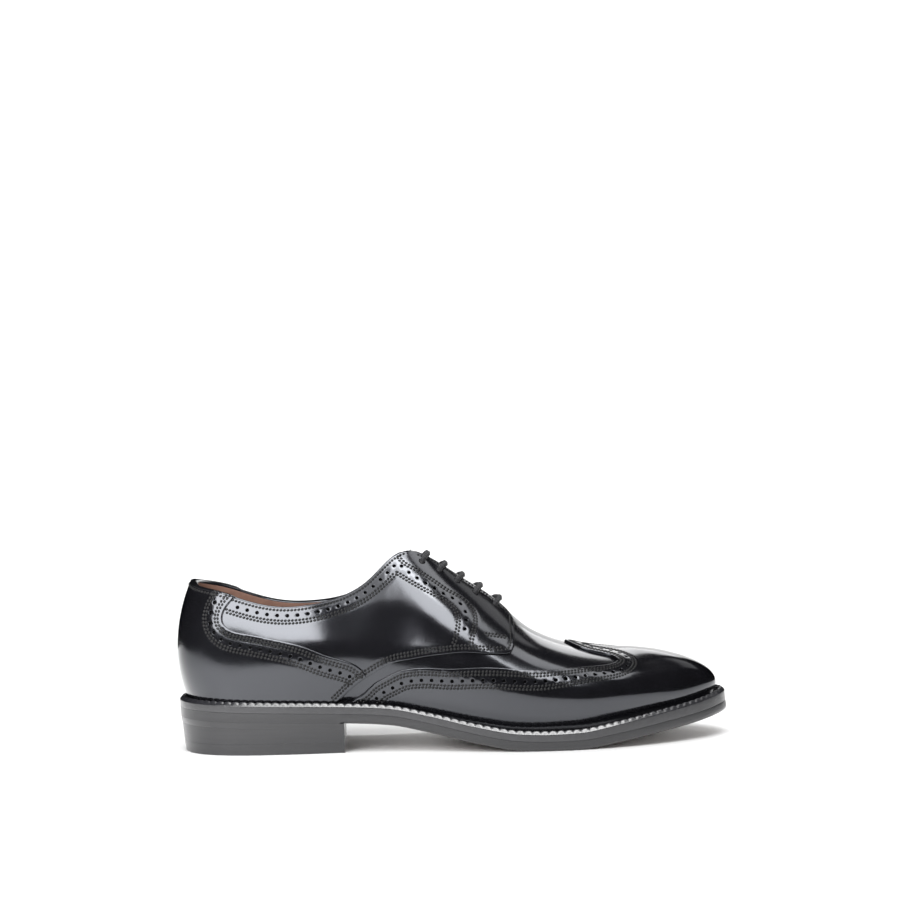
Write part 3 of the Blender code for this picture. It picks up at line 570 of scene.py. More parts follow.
def leather(sheet, layer, relief=None):
    """A closed leather between two heights over a sheet, with rubbed edges and a relief on its face."""
    points, normals, faces = sheet
    low, high = layer
    sink = np.zeros(len(points)) if relief is None else relief(points)
    n = len(points)
    vertices = [points + normals * (high - sink)[:, None], points + normals * low]
    solid = [faces, faces[:, ::-1] + n]
    count = 2 * n
    for loop in rims(faces):
        heading = unit(np.roll(points[loop], -1, axis=0) - np.roll(points[loop], 1, axis=0))
        out = np.cross(heading, normals[loop])
        size = len(loop)
        rub = PUNCH_RUB if size <= PUNCH_SIDES else 1.0
        before = loop
        for step in RUBBED_EDGE + (Round(RUBBED_EDGE[-1].out, (high - low) / rub),):
            height = (high - np.minimum(sink[loop] + step.down * rub, high - low))[:, None]
            vertices.append(points[loop] + out * step.out * rub + normals[loop] * height)
            here = count + np.arange(size)
            solid.append(band(before, here))
            before = here
            count += size
        solid.append(band(before, loop + n))
    return np.concatenate(vertices), np.concatenate(solid)


def band(before, after):
    """Two triangles for each step between a loop of vertices and the next loop."""
    a, b = before, np.roll(before, -1)
    c, d = np.roll(after, -1), after
    return np.concatenate([np.stack([b, a, d], -1), np.stack([b, d, c], -1)])


def tube(order, size):
    """Triangles from each ring of vertices to the next, for rings of one size in the given order."""
    rings = np.array(order)[:, None] * size + np.arange(size)
    return np.concatenate([band(before, after) for before, after in zip(rings, rings[1:])])


def fan(size):
    """Triangles that close the first ring of vertices."""
    return np.array([(0, i, i + 1) for i in range(1, size - 1)])


def rod(rings, cap):
    """A solid from a row of rings, with a cap at the first and the same one turned over at the last."""
    count, size = rings.shape[:2]
    solid = [tube(range(count), size)[:, ::-1], cap, cap[:, ::-1] + (count - 1) * size]
    return rings.reshape(-1, 3), np.concatenate(solid)


def repeated(vertices, faces):
    """One mesh of many copies of a form, from the vertices of each copy and the faces of one."""
    every = faces[None] + (np.arange(len(vertices)) * vertices.shape[1])[:, None, None]
    return vertices.reshape(-1, 3), every.reshape(-1, 3)


def seam_relief(lines, sides=(-1, 1)):
    """How far the thread pulls the leather down, from the distance to the nearest seam."""
    marks = []
    for side in sides:
        for line in lines:
            marks.append(LAST.surface(*placed(spaced(line, SEAM_MARKS, side), side)))
    marks = np.concatenate(marks)
    tree = KDTree(len(marks))
    for i, mark in enumerate(marks):
        tree.insert(mark, i)
    tree.balance()

    def relief(points):
        gap = np.array([tree.find(p)[2] for p in points])
        return SEAM_DIP * np.exp(-(gap / SEAM_WIDTH) ** 2)
    return relief


# Threads

# Loops along a stitch: place in shares of its length, girth and rise in shares of its width
Loop = namedtuple("Loop", "place girth rise")
STITCH_LOOPS = (Loop(-0.5, 0.3, -0.25), Loop(-0.32, 0.85, 0.0), Loop(0.0, 1.0, 0.08), Loop(0.32, 0.85, 0.0),
                Loop(0.5, 0.3, -0.25))
STITCH_SIDES = 7


def stitches(centres, headings, normals, length=STITCH_LENGTH, width=STITCH_WIDTH):
    """Stitches laid end to end at the given places, their ends sunk."""
    form = []
    for loop in STITCH_LOOPS:
        for turn in np.arange(STITCH_SIDES) * 2 * np.pi / STITCH_SIDES:
            half = loop.girth / 2
            form.append((loop.place, half * np.cos(turn), half * np.sin(turn) + loop.rise))
    form = np.array(form)
    last = len(STITCH_LOOPS) - 1
    ends = fan(STITCH_SIDES)
    faces = np.concatenate([tube(range(last, -1, -1), STITCH_SIDES)[:, ::-1], ends,
                            ends[:, ::-1] + last * STITCH_SIDES])
    across = np.cross(normals, headings)
    vertices = (centres[:, None] + form[None, :, :1] * length * headings[:, None]
                + form[None, :, 1:2] * width * across[:, None] + form[None, :, 2:] * width * normals[:, None])
    return repeated(vertices, faces)


def seam(line, height, start, sides=(-1, 1)):
    """Centres, headings and normals of the stitches of a seam, on each side of the shoe."""
    rows = []
    for side in sides:
        u, v = placed(spaced(line, STITCH_PITCH, side, start), side)
        centres = LAST.layer(u, v, np.full(len(u), height))
        headings = unit(np.gradient(centres, axis=0))
        normals = LAST.normal(u, v)
        slant = np.cross(normals, headings)
        rows.append((centres, unit(headings + STITCH_SLANT * slant), normals))
    return rows


def sewn(lines, height, sides=(-1, 1)):
    """One joined mesh of the stitches of several seams, every second seam half a stitch further on."""
    rows = []
    for number, line in enumerate(lines):
        rows += seam(line, height, 0.5 + 0.5 * (number % 2), sides)
    return stitches(*(np.concatenate(columns) for columns in zip(*rows)))


# Bottom

def slab(rings):
    """A solid from closed rings, top ring first, closed across the first and the last."""
    n = len(rings[0])
    half = np.arange(1, n // 2)
    far = n - half
    across = np.concatenate([np.stack([half, half + 1, far - 1], -1), np.stack([half, far - 1, far], -1)])
    across = across[(across[:, 0] != across[:, 2]) & (across[:, 1] != across[:, 2])]
    return rod(np.array(rings), np.concatenate([np.array([[0, 1, n - 1]]), across]))


def under_seat(flat, depth):
    """Points of a flat outline, a depth under the seat of the last."""
    return np.column_stack([flat, LAST.seat(flat[:, 0]) - depth])


# Fine steps from heel to toe, to measure along the sole's edge and to cut the heel from it
FINE_HALF = np.linspace(0.0, 0.5, 2000)
HEEL_HALF = np.linspace(0.0, 0.5, 1500)


def sole_places(count):
    """Places round the last at even distances along the sole's edge, the same number on each side."""
    places = []
    for u in (FINE_HALF, 1.0 - FINE_HALF):
        reach = length_so_far(LAST.sole_edge(u))
        places.append(np.interp(np.linspace(0.0, reach[-1], count // 2 + 1), reach, u))
    return np.concatenate([places[0], places[1][-2:0:-1]])


def tread_height(x):
    """Underside of the outsole, flat where the ball stands on the floor."""
    return np.maximum(LAST.seat(x) - SOLE_STACK - TREAD_FLAT, 0.0)


def toe_slope(x):
    """How steeply the sole rises where the toe springs up."""
    return np.maximum(LAST.seat(x + 1.0) - LAST.seat(x - 1.0), 0.0) / 2.0


def sole_ring(u, inset, depth):
    """A ring round the sole, set forward under the toe, where the edge is trimmed square to the sole."""
    edge = LAST.sole_edge(u, inset)
    edge[:, 0] += depth * toe_slope(edge[:, 0])
    return under_seat(edge, depth)


# Profile of the welt from its top to its foot: how far in from the rim, depth under the top, and how
# much it takes of the scalloping between two stitches and of the lip's rise
Rim = namedtuple("Rim", "inset depth scallop lip")
WELT_RIM = (
    Rim(4.2, 1.1, 0.0, 0.3), Rim(3.6, 1.1, 0.1, 0.5), Rim(2.95, 0.95, 0.4, 0.8),
    Rim(2.5, 0.5, 0.8, 1.0), Rim(2.15, 0.15, 1.0, 1.0), Rim(1.9, 0.02, 1.0, 1.0),
    Rim(1.6, 0.12, 1.0, 1.0), Rim(1.2, 0.55, 0.8, 1.0), Rim(0.8, 1.06, 0.35, 1.0),
    Rim(0.42, 1.55, 0.08, 1.0), Rim(0.16, 1.88, 0.0, 1.0), Rim(0.04, 2.02, 0.0, 1.0),
    Rim(0.0, 2.15, 0.0, 1.0), Rim(0.0, 2.4, 0.0, 1.0), Rim(0.02, 3.4, 0.0, 0.5),
    Rim(0.05, 4.6, 0.0, 0.0), Rim(0.08, 4.82, 0.0, 0.0), Rim(0.16, WELT_DEPTH, 0.0, 0.0),
)

# Inner side of the welt and edge of the sock: how far out from the feather line, depth under the seat
Ring = namedtuple("Ring", "out depth")
WELT_INSIDE = (Ring(-1.9, WELT_DEPTH), Ring(-1.9, 0.0), Ring(0.6, -0.1), Ring(1.9, 0.9))
SOCK = (Ring(-4.5, -1.2), Ring(-2.7, -1.35), Ring(-2.05, -1.25), Ring(-1.95, WELT_DEPTH))

# Rise of the lip over the seat, in millimetres: it grows towards the toe
Lip = namedtuple("Lip", "x rise")
LIP = (Lip(-150.0, 0.9), Lip(45.0, 0.9), Lip(95.0, 1.8), Lip(150.0, 2.7))
LIP_RISE = steady_line([row.x for row in LIP], [row.rise for row in LIP])

# Profile of the outsole's edge: how far in from the rim before the heel and over it, and depth
Trim = namedtuple("Trim", "inset heel_inset depth")
OUTSOLE_TRIM = (
    Trim(0.20, 0.20, WELT_DEPTH + 0.04), Trim(0.10, 0.10, WELT_DEPTH + 0.1),
    Trim(0.10, 0.12, WELT_DEPTH + 0.3), Trim(0.12, 0.32, SOLE_STACK - 2.1),
    Trim(0.32, 0.35, SOLE_STACK - 1.2), Trim(0.70, 0.38, SOLE_STACK - 0.5),
    Trim(1.1, 0.39, SOLE_STACK - 0.15), Trim(1.6, 0.4, SOLE_STACK),
)

# Where the edge changes over the heel, scallops and thread of the welt in millimetres, facets counted
HEEL_BLEND = 0.6
HEEL_BLEND_BEFORE = 2.0
SCALLOP = 0.55
SCALLOP_FULLNESS = 0.7
WELT_FACETS = 12
OUTSOLE_FACETS = 720
SOCK_FACETS = 360
WELT_THREAD_INSET = 3.0
WELT_THREAD_DEPTH = 0.75
WELT_THREAD_LIP = 0.75
WELT_THREAD_LENGTH = 3.9
WELT_THREAD_WIDTH = 1.25


def welt_marks():
    """How many stitches go round the welt."""
    half = length_so_far(LAST.sole_edge(FINE_HALF))[-1]
    return int(2 * half / WELT_PITCH / 2) * 2


def welt_mesh():
    """The welt with its scalloped lip, a crease beside the upper and a trimmed edge below."""
    u = sole_places(welt_marks() * WELT_FACETS)
    phase = np.arange(len(u)) / WELT_FACETS
    crown = np.abs(np.sin(np.pi * phase)) ** SCALLOP_FULLNESS - 1.0
    rings = []
    for rim in WELT_RIM:
        points = sole_ring(u, rim.inset, rim.depth)
        points[:, 2] += crown * SCALLOP * rim.scallop + LIP_RISE(points[:, 0]) * rim.lip
        rings.append(points)
    rings += feather_rings(u, WELT_INSIDE)
    solid = tube([*range(len(rings)), 0], len(u))[:, ::-1]
    return np.concatenate(rings), solid


def feather_rings(u, rows):
    """Rings beside the feather line of the last."""
    return [under_seat(LAST.foot(u) + LAST.outward(u) * row.out, row.depth) for row in rows]


def welt_thread_mesh():
    """The thread of the welt, one stitch behind each scallop."""
    u = sole_places(welt_marks() * 2)[1::2]
    points = sole_ring(u, WELT_THREAD_INSET, WELT_THREAD_DEPTH)
    points[:, 2] += WELT_THREAD_LIP * LIP_RISE(points[:, 0])
    headings = unit(np.roll(points, -1, axis=0) - np.roll(points, 1, axis=0))
    upward = unit(np.cross(headings, np.column_stack([-LAST.outward(u), np.zeros(len(u))])))
    upward *= np.sign(upward[:, 2:])
    return stitches(points, headings, upward, WELT_THREAD_LENGTH, WELT_THREAD_WIDTH)


def outsole_mesh():
    """The outsole, its edge trimmed with a small round that ends before the heel."""
    u = sole_places(OUTSOLE_FACETS)
    rings = []
    ahead = (LAST.foot_x(u) - HEEL_BREAST_X + HEEL_BLEND_BEFORE) / HEEL_BLEND
    over_heel = 1.0 / (1.0 + np.exp(ahead))
    for trim in OUTSOLE_TRIM:
        points = sole_ring(u, trim.inset + (trim.heel_inset - trim.inset) * over_heel, trim.depth)
        above = SOLE_STACK - trim.depth
        points[:, 2] = np.maximum(points[:, 2], tread_height(points[:, 0]) + above)
        if above == 0.0:
            points[:, 2] = tread_height(points[:, 0])
        rings.append(points)
    return slab(rings)


def sock_mesh():
    """The sock over the insole, its edge rubbed round."""
    return slab(feather_rings(sole_places(SOCK_FACETS), SOCK))


def heel_outline(inset, count=150, breast=24):
    """Outline of the heel from the lateral breast round the back, closed by a hollow breast."""
    lateral = LAST.sole_edge(HEEL_HALF, inset)
    medial = LAST.sole_edge(1.0 - HEEL_HALF, inset)
    lateral = lateral[lateral[:, 0] < HEEL_BREAST_X]
    medial = medial[medial[:, 0] < HEEL_BREAST_X]
    flat = evenly(np.concatenate([lateral[::-1], medial[1:]]), count)
    flat[[0, -1], 0] = HEEL_BREAST_X
    share = np.linspace(0.0, 1.0, breast)[1:-1]
    breast_y = flat[-1, 1] + (flat[0, 1] - flat[-1, 1]) * share
    breast_x = HEEL_BREAST_X - HEEL_BREAST_HOLLOW * np.sin(np.pi * share)
    return np.concatenate([flat, np.column_stack([breast_x, breast_y])])


def evenly(line, count):
    """Points at equal distances along a line."""
    reach = length_so_far(line)
    places = np.linspace(0.0, reach[-1], count)
    return np.stack([np.interp(places, reach, line[:, k]) for k in range(line.shape[1])], -1)


# A level in the heel: how far it follows the outsole's underside, millimetres over that or over the floor
Level = namedtuple("Level", "follow lift")

# Rubbed edge and joint of the heel's layers in millimetres, shares of the taper at the foot of two lifts
HEEL_RUB = 0.03
HEEL_JOINT = 0.03
FIRST_LIFT_TAPER = 0.25
SECOND_LIFT_TAPER = 0.7


def heel_piece_mesh(top, bottom, top_inset, bottom_inset):
    """One layer of the heel between two levels, its edges rubbed round."""
    rings = []
    for level, inset, down in ((top, top_inset + HEEL_RUB, 0.0), (top, top_inset, HEEL_RUB),
                               (bottom, bottom_inset, -HEEL_RUB), (bottom, bottom_inset + HEEL_RUB, 0.0)):
        outline = heel_outline(inset)
        height = level.follow * tread_height(outline[:, 0]) + level.lift - down
        rings.append(np.column_stack([outline, height]))
    middle = np.array([rings[0].mean(axis=0), rings[-1].mean(axis=0)])
    for centre, level in zip(middle, (top, bottom)):
        centre[2] = level.follow * tread_height(centre[0]) + level.lift
    n = len(rings[0])
    hub = 4 * n
    around = np.arange(n)
    onward = np.roll(around, -1)
    solid = [tube(range(4), n), np.stack([onward, around, np.full(n, hub)], -1),
             np.stack([around + 3 * n, onward + 3 * n, np.full(n, hub + 1)], -1)]
    return np.concatenate(rings + [middle]), np.concatenate(solid)


def heel_pieces():
    """Name and mesh of each layer of the heel, from the sole down."""
    under_sole = Level(1.0, -HEEL_JOINT)
    under_first = Level(1.0, -GAP - FIRST_LIFT_DEPTH)
    over_top_piece = Level(0.0, TOP_PIECE_DEPTH + HEEL_JOINT)
    top_piece_seat = Level(0.0, TOP_PIECE_DEPTH)
    floor = Level(0.0, 0.0)
    middle = HEEL_INSET + FIRST_LIFT_TAPER * HEEL_TAPER
    low = HEEL_INSET + SECOND_LIFT_TAPER * HEEL_TAPER
    return (("heel_lift_1", heel_piece_mesh(under_sole, under_first, HEEL_INSET, middle)),
            ("heel_lift_2", heel_piece_mesh(under_first, over_top_piece, middle, low)),
            ("heel_top_piece", heel_piece_mesh(top_piece_seat, floor, low, HEEL_INSET + HEEL_TAPER)))


# Uppers

def upper_outline(step, foot):
    """Outline of a leather over the whole last, a little lower along the collar than along the throat."""
    return ring(*straight_edges((0.0, foot), (1.0, foot), (1.0, 1.0), THROAT_START, COLLAR_END,
                                (0.0, COLLAR_TOP), (0.0, foot), step=step))


def wing_outline():
    toe = straight_edges(WING_EDGE[0], (1.0, LEATHER_FOOT), (1.0, 1.0), WING_EDGE[-1])
    return ring(*toe, smooth_edge(WING_EDGE)[::-1])


def quarter_outline():
    heel = (CENTRE_BACK, LEATHER_FOOT)
    collar = straight_edges(QUARTER_FACING[-1], QUARTER_THROAT, QUARTER_COLLAR,
                            (CENTRE_BACK, COLLAR_TOP), heel)
    return ring(straight_edge(heel, QUARTER_FRONT[0]), smooth_edge(QUARTER_FRONT), smooth_edge(QUARTER_TAB),
                smooth_edge(QUARTER_FACING), *collar)


def foxing_outline():
    heel = (0.0, LEATHER_FOOT)
    return ring(straight_edge(heel, FOXING_FRONT[0]), smooth_edge(FOXING_FRONT), smooth_edge(FOXING_TOP),
                *straight_edges(FOXING_TOP[-1], (0.0, COLLAR_TOP), heel))


def double(line):
    """The two rows of a seam that is sewn twice, one on each side of a line."""
    half = (LOW_ROWS[1] - LOW_ROWS[0]) / 2
    return [shifted(line, -half), shifted(line, half)]


def hole_shade_mesh(centres, height, sides=(-1, 1)):
    """Small near-black rounds that close punched holes from behind, just over the leather below: painted
    shade inside each hole.
    """
    n = PUNCH_SIDES
    turn = (np.arange(n) * 2 * np.pi / n)[:, None, None]
    rounds = []
    for side in sides:
        u, v = placed(centres, side)
        out = LAST.normal(u, v)
        across = unit(LAST.pulls(u, v)[1])
        reach = np.cos(turn) * np.cross(across, out) + np.sin(turn) * across
        rim = LAST.surface(u, v) + UNDERLAY_RADIUS * reach
        both = np.concatenate([rim + out * (height + UNDERLAY_THICK), rim + out * height])
        rounds.append(np.swapaxes(both, 0, 1))
    faces = [tube(range(2), n), fan(n), fan(n)[:, ::-1] + n]
    return repeated(np.concatenate(rounds), np.concatenate(faces))


# The rolled collar: its end on the last, facets along and round it, and in millimetres how far its ends
# thin out, how deep it sits, its foot and the tuck there
ROLL_END = 0.217
ROLL_FACETS = 420
ROLL_ARC = 14
ROLL_EASE = 7.0
ROLL_SINK = 0.2
ROLL_FOOT = 1.0
ROLL_TUCK = 0.12

# Height at its ends, what is added between them and over the foxing, and shares of its width left at its ends
ROLL_HEIGHTS = (0.15, 0.45, 0.6)
ROLL_OUTER_SHARE = 0.55
ROLL_INNER_SHARE = 0.35
FOXING_COLLAR_END = 0.124
FOXING_COLLAR_BLEND = 0.002


def collar_roll_mesh():
    """The turned and bound edge of the collar, from one throat top round the heel to the other."""
    u = np.linspace(ROLL_END, -ROLL_END, ROLL_FACETS)
    place = np.mod(u, 1.0)
    level = np.ones(ROLL_FACETS)
    centre = LAST.surface(place, level)
    out = LAST.normal(place, level)
    upward = unit(centre - LAST.surface(place, level - 10 * LAST.STEP))
    end = np.clip((ROLL_END - np.abs(u)) * ALONG_MM * 2 / ROLL_EASE, 0.0, 1.0)
    ease = np.sqrt(1.0 - (1.0 - end) ** 2)
    over_foxing = 1.0 / (1.0 + np.exp((np.abs(u) * 2 - FOXING_COLLAR_END) / FOXING_COLLAR_BLEND))
    outer = QUARTER[1] * (ROLL_OUTER_SHARE + (1.0 - ROLL_OUTER_SHARE) * ease)
    outer = outer + (FOXING[1] - QUARTER[1]) * over_foxing
    inner = LINING[0] * (ROLL_INNER_SHARE + (1.0 - ROLL_INNER_SHARE) * ease)
    at_end, between, at_foxing = ROLL_HEIGHTS
    tall = at_end + between * ease + at_foxing * over_foxing
    rings = []
    for angle in np.linspace(0.0, np.pi, ROLL_ARC):
        wide = (outer + inner) / 2 + (outer - inner) / 2 * np.cos(angle)
        high = tall * np.sin(angle) - ROLL_SINK
        rings.append(centre + out * wide[:, None] + upward * high[:, None])
    for wide in (inner + ROLL_TUCK, outer - ROLL_TUCK):
        rings.append(centre + out * wide[:, None] - upward * ROLL_FOOT)
    return rod(np.stack(rings, axis=1), fan(len(rings))[:, ::-1])


# Tongue and laces

# Tongue: along of its ends, up of its sides, how proud its top is and how far its front sinks in
# millimetres, and shares of that rise at its corners and at its first lines
TONGUE_TOP = 0.455
TONGUE_FRONT = 0.675
TONGUE_EDGE = 0.84
TONGUE_PROUD = 0.6
TONGUE_CORNER = 0.3
TONGUE_SINK = 0.5
TONGUE_TIPS = (1.0, 0.66, 0.33)

# The way of a lace bar from its eyelet to the middle: share of the way, millimetres over the vamp
Bend = namedtuple("Bend", "share height")
LACE_LYING = QUARTER[1] + LACE_RADIUS * 0.93
LACE_WAY = (
    Bend(0.0, -0.6), Bend(0.04, 1.0), Bend(0.22, LACE_LYING - 0.35), Bend(0.5, LACE_LYING),
    Bend(0.78, LACE_LYING), Bend(1.0, LACE_LYING - 0.2),
)

# The plaited cord: crest and lay of a turn in millimetres, girth and relief in shares of its radius
LACE_CREST = LACE_RADIUS * 0.5
LACE_FACETS = 230
LACE_SIDES = 24
LACE_PLAITS = 6
LACE_LAY = 2.7
LACE_FULL = 1.02
LACE_RELIEF = 0.16


def across_throat(along, edge, height, count=12):
    """A line over the throat from a height on the lateral wall to the medial one."""
    heights = np.linspace(edge, 1.0, count)
    lateral = LAST.layer(np.full(count, along / 2), heights, np.full(count, height))
    medial = LAST.layer(np.full(count, 1 - along / 2), heights, np.full(count, height))
    span = np.linalg.norm(lateral[-1] - medial[-1])
    lateral_pull = unit(lateral[-1] - lateral[-2]) * span / 3
    medial_pull = unit(medial[-1] - medial[-2]) * span / 3
    t = np.linspace(0.0, 1.0, count)[1:-1, None]
    w = 1.0 - t
    arch = (w ** 3 * lateral[-1] + 3 * w * w * t * (lateral[-1] + lateral_pull)
            + 3 * w * t * t * (medial[-1] + medial_pull) + t ** 3 * medial[-1])
    return np.concatenate([lateral, arch, medial[::-1]])


def tongue_sheet(rows=60, columns=41):
    """The tongue's middle surface, from its crowned top to under the vamp."""
    lines = []
    for share in np.linspace(0.0, 1.0, rows):
        along = TONGUE_TOP + (TONGUE_FRONT - TONGUE_TOP) * share
        middle = LINING[0] - GAP - TONGUE_LEATHER / 2 - TONGUE_SINK * share
        lines.append(evenly(across_throat(along, TONGUE_EDGE, middle), columns))
    onward = unit(lines[0] - lines[1])
    crown = np.sin(np.linspace(0.0, np.pi, columns))[:, None]
    proud = onward * TONGUE_PROUD * (TONGUE_CORNER + (1.0 - TONGUE_CORNER) * crown)
    tips = [lines[0] + proud * share for share in TONGUE_TIPS]
    grid = np.array(tips + lines)
    out = unit(np.cross(np.gradient(grid, axis=0), np.gradient(grid, axis=1)))
    place = np.arange(grid.shape[0] * columns).reshape(-1, columns)
    a, b, c, d = place[:-1, :-1], place[1:, :-1], place[1:, 1:], place[:-1, 1:]
    faces = np.concatenate([np.stack(corners, -1).reshape(-1, 3) for corners in ((a, b, c), (a, c, d))])
    return grid.reshape(-1, 3), out.reshape(-1, 3), faces


def lace_mesh(eyelet):
    """A round plaited cord out of one eyelet, over the throat and into the other."""
    along, up = eyelet
    lateral = []
    medial = []
    for bend in LACE_WAY:
        place = (along + LACE_LEAN * bend.share) / 2
        level = up + (1.0 - up) * bend.share
        lateral.append(LAST.layer(np.array(place), np.array(level), bend.height))
        medial.append(LAST.layer(np.array(1.0 - place), np.array(level), bend.height))
    crest = (lateral[-1] + medial[-1]) / 2 + np.array([0.0, 0.0, LACE_CREST])
    knots = np.array(lateral + [crest] + medial[::-1])
    reach = length_so_far(knots)
    s = np.linspace(0.0, reach[-1], LACE_FACETS)
    path = np.stack([cubic_line(reach, knots[:, k])(s) for k in range(3)], -1)
    heading = unit(np.gradient(path, axis=0))
    side = unit(np.cross(heading, (0.0, 0.0, 1.0)))
    rise = np.cross(side, heading)
    turn = np.arange(LACE_SIDES) * 2 * np.pi / LACE_SIDES
    run = length_so_far(path)[:, None] * 2 * np.pi / LACE_LAY
    weave = np.sin(LACE_PLAITS / 2 * turn + run) * np.sin(LACE_PLAITS / 2 * turn - run)
    girth = LACE_RADIUS * (LACE_FULL + LACE_RELIEF * weave)
    rings = (path[:, None] + (girth * np.cos(turn))[..., None] * side[:, None]
             + (girth * np.sin(turn))[..., None] * rise[:, None])
    return rod(rings, fan(LACE_SIDES))


# Finishes

# Depth of a leather's grain and of the waves that the last pulls into it, in metres
GRAIN_DEPTH = 0.2 * MM
PULL_DEPTH = 1.2 * MM


def linear(code):
    """A colour given as sRGB hex, as linear light."""
    parts = [int(code[i:i + 2], 16) / 255 for i in (1, 3, 5)]
    return tuple(p / 12.92 if p <= 0.04045 else ((p + 0.055) / 1.055) ** 2.4 for p in parts) + (1.0,)


def per_metre(millimetres):
    """A pattern's scale from the size of its grain."""
    return 1.0 / (millimetres * MM)


def add_node(tree, kind, values=(), links=(), **settings):
    """A node with its settings, socket values and links."""
    made = tree.nodes.new(kind)
    for name, value in settings.items():
        setattr(made, name, value)
    for socket, value in dict(values).items():
        made.inputs[socket].default_value = value
    for socket, source in dict(links).items():
        tree.links.new(source, made.inputs[socket])
    return made


def new_finish(name, size, dark, light, stretch=None, **sockets):
    """A material of one shader: values that are the same all over, under a cloudy change of two tones."""
    made = bpy.data.materials.new(name)
    made.use_nodes = True
    tree = made.node_tree
    shader = tree.nodes["Principled BSDF"]
    for socket, value in sockets.items():
        shader.inputs[socket.replace("_", " ")].default_value = value
    place = add_node(tree, "ShaderNodeTexCoord").outputs["Object"]
    if stretch:
        place = add_node(tree, "ShaderNodeMapping", {"Scale": stretch}, {"Vector": place}).outputs["Vector"]
    cloud = add_node(tree, "ShaderNodeTexNoise", {"Scale": per_metre(size), "Detail": 3.0}, {"Vector": place})
    tone = add_node(tree, "ShaderNodeMix", {"A": linear(dark), "B": linear(light)},
                    {"Factor": cloud.outputs["Fac"]}, data_type="RGBA")
    tree.links.new(tone.outputs["Result"], shader.inputs["Base Color"])
    return made, tree, shader, place


def raised_grain(tree, shader, place, size, detail, strength):
    """A fine grain that lifts the skin and breaks up its shine; gives back the grain."""
    grain = add_node(tree, "ShaderNodeTexNoise", {"Scale": per_metre(size), "Detail": detail},
                     {"Vector": place})
    skin = add_node(tree, "ShaderNodeBump", {"Strength": strength, "Distance": GRAIN_DEPTH},
                    {"Height": grain.outputs["Fac"]})
    tree.links.new(skin.outputs["Normal"], shader.inputs["Normal"])
    return grain.outputs["Fac"]


def polished_calf():
    """Black calf, waxed and brushed to a shine: a clear gloss over a near black skin with fine pores."""
    made, tree, shader, place = new_finish(
        "polished_calf", 9.0, "#0a0a0c", "#131316", IOR=1.5, Specular_Tint=linear("#e7eeff"),
        Coat_Weight=1.0, Coat_Roughness=0.13, Coat_IOR=1.5)
    # The pull of the last shows as slow waves; the pores are drawn coarser than real ones
    waves = add_node(tree, "ShaderNodeTexNoise", {"Scale": per_metre(19.0), "Detail": 2.0}, {"Vector": place})
    pores = add_node(tree, "ShaderNodeTexNoise", {"Scale": per_metre(0.9), "Detail": 2.0}, {"Vector": place})
    skin = add_node(tree, "ShaderNodeBump", {"Strength": 0.05, "Distance": GRAIN_DEPTH},
                    {"Height": pores.outputs["Fac"]})
    pull = add_node(tree, "ShaderNodeBump", {"Strength": 0.12, "Distance": PULL_DEPTH},
                    {"Height": waves.outputs["Fac"], "Normal": skin.outputs["Normal"]})
    rubbed = add_node(tree, "ShaderNodeMapRange", {"To Min": 0.10, "To Max": 0.20},
                      {"Value": waves.outputs["Fac"]})
    tree.links.new(rubbed.outputs["Result"], shader.inputs["Roughness"])
    tree.links.new(pull.outputs["Normal"], shader.inputs["Normal"])
    tree.links.new(pull.outputs["Normal"], shader.inputs["Coat Normal"])
    return made


def tan_lining():
    """Vegetable tanned lining leather: matt warm brown with a soft grain."""
    made, tree, shader, place = new_finish("tan_lining_leather", 5.0, "#6e5347", "#896b5e",
                                           IOR=1.45, Roughness=0.58)
    grain = add_node(tree, "ShaderNodeTexVoronoi", {"Scale": per_metre(1.2)}, {"Vector": place})
    skin = add_node(tree, "ShaderNodeBump", {"Strength": 0.25, "Distance": GRAIN_DEPTH},
                    {"Height": grain.outputs["Distance"]})
    tree.links.new(skin.outputs["Normal"], shader.inputs["Normal"])
    return made


def inked_edge():
    """Sole leather cut, inked black and burnished with wax: satin, with fibres running along the edge."""
    made, tree, shader, place = new_finish(
        "inked_sole_edge", 1.6, "#161618", "#232326", stretch=(0.06, 0.06, 1.0),
        IOR=1.5, Coat_Weight=0.7, Coat_Roughness=0.22)
    fibres = raised_grain(tree, shader, place, 0.8, 4.0, 0.18)
    tone = add_node(tree, "ShaderNodeMapRange", {"To Min": 0.28, "To Max": 0.46}, {"Value": fibres})
    tree.links.new(tone.outputs["Result"], shader.inputs["Roughness"])
    return made


def wheeled_welt():
    """Welt leather, blackened and pressed with a hot wheel: dark with bright worn crowns."""
    made, tree, shader, place = new_finish("wheeled_welt_leather", 3.0, "#141416", "#2a2a2e", IOR=1.5,
                                           Roughness=0.30, Coat_Weight=1.0, Coat_Roughness=0.16)
    raised_grain(tree, shader, place, 0.7, 3.0, 0.15)
    return made


def waxed_thread():
    """Black linen thread drawn through wax: a soft glint on each stitch."""
    return new_finish("waxed_linen_thread", 2.0, "#070708", "#0e0e10", IOR=1.45, Roughness=0.45)[0]


def hole_shade_finish():
    """Painted shade for the punched holes: a near-black, quite matt finish over the black leather below, so
    the holes read black.
    """
    return new_finish("painted_hole_shade", 1.0, "#050506", "#0b0b0c", IOR=1.3, Roughness=0.95)[0]


def lace_cotton():
    """Plaited cotton lace, lightly waxed: dark grey, with a dull sheen on the strands."""
    made, tree, shader, place = new_finish("waxed_cotton_lace", 1.2, "#121214", "#222225", IOR=1.45,
                                           Roughness=0.6, Sheen_Weight=0.25, Sheen_Roughness=0.4)
    raised_grain(tree, shader, place, 0.4, 2.0, 0.4)
    return made


def tread_leather():
    """Oak tanned sole leather on the underside: dull brown, lightly waxed."""
    made, tree, shader, place = new_finish("oak_tanned_tread", 6.0, "#453428", "#5c4737",
                                           IOR=1.45, Roughness=0.55)
    raised_grain(tree, shader, place, 0.8, 3.0, 0.2)
    return made


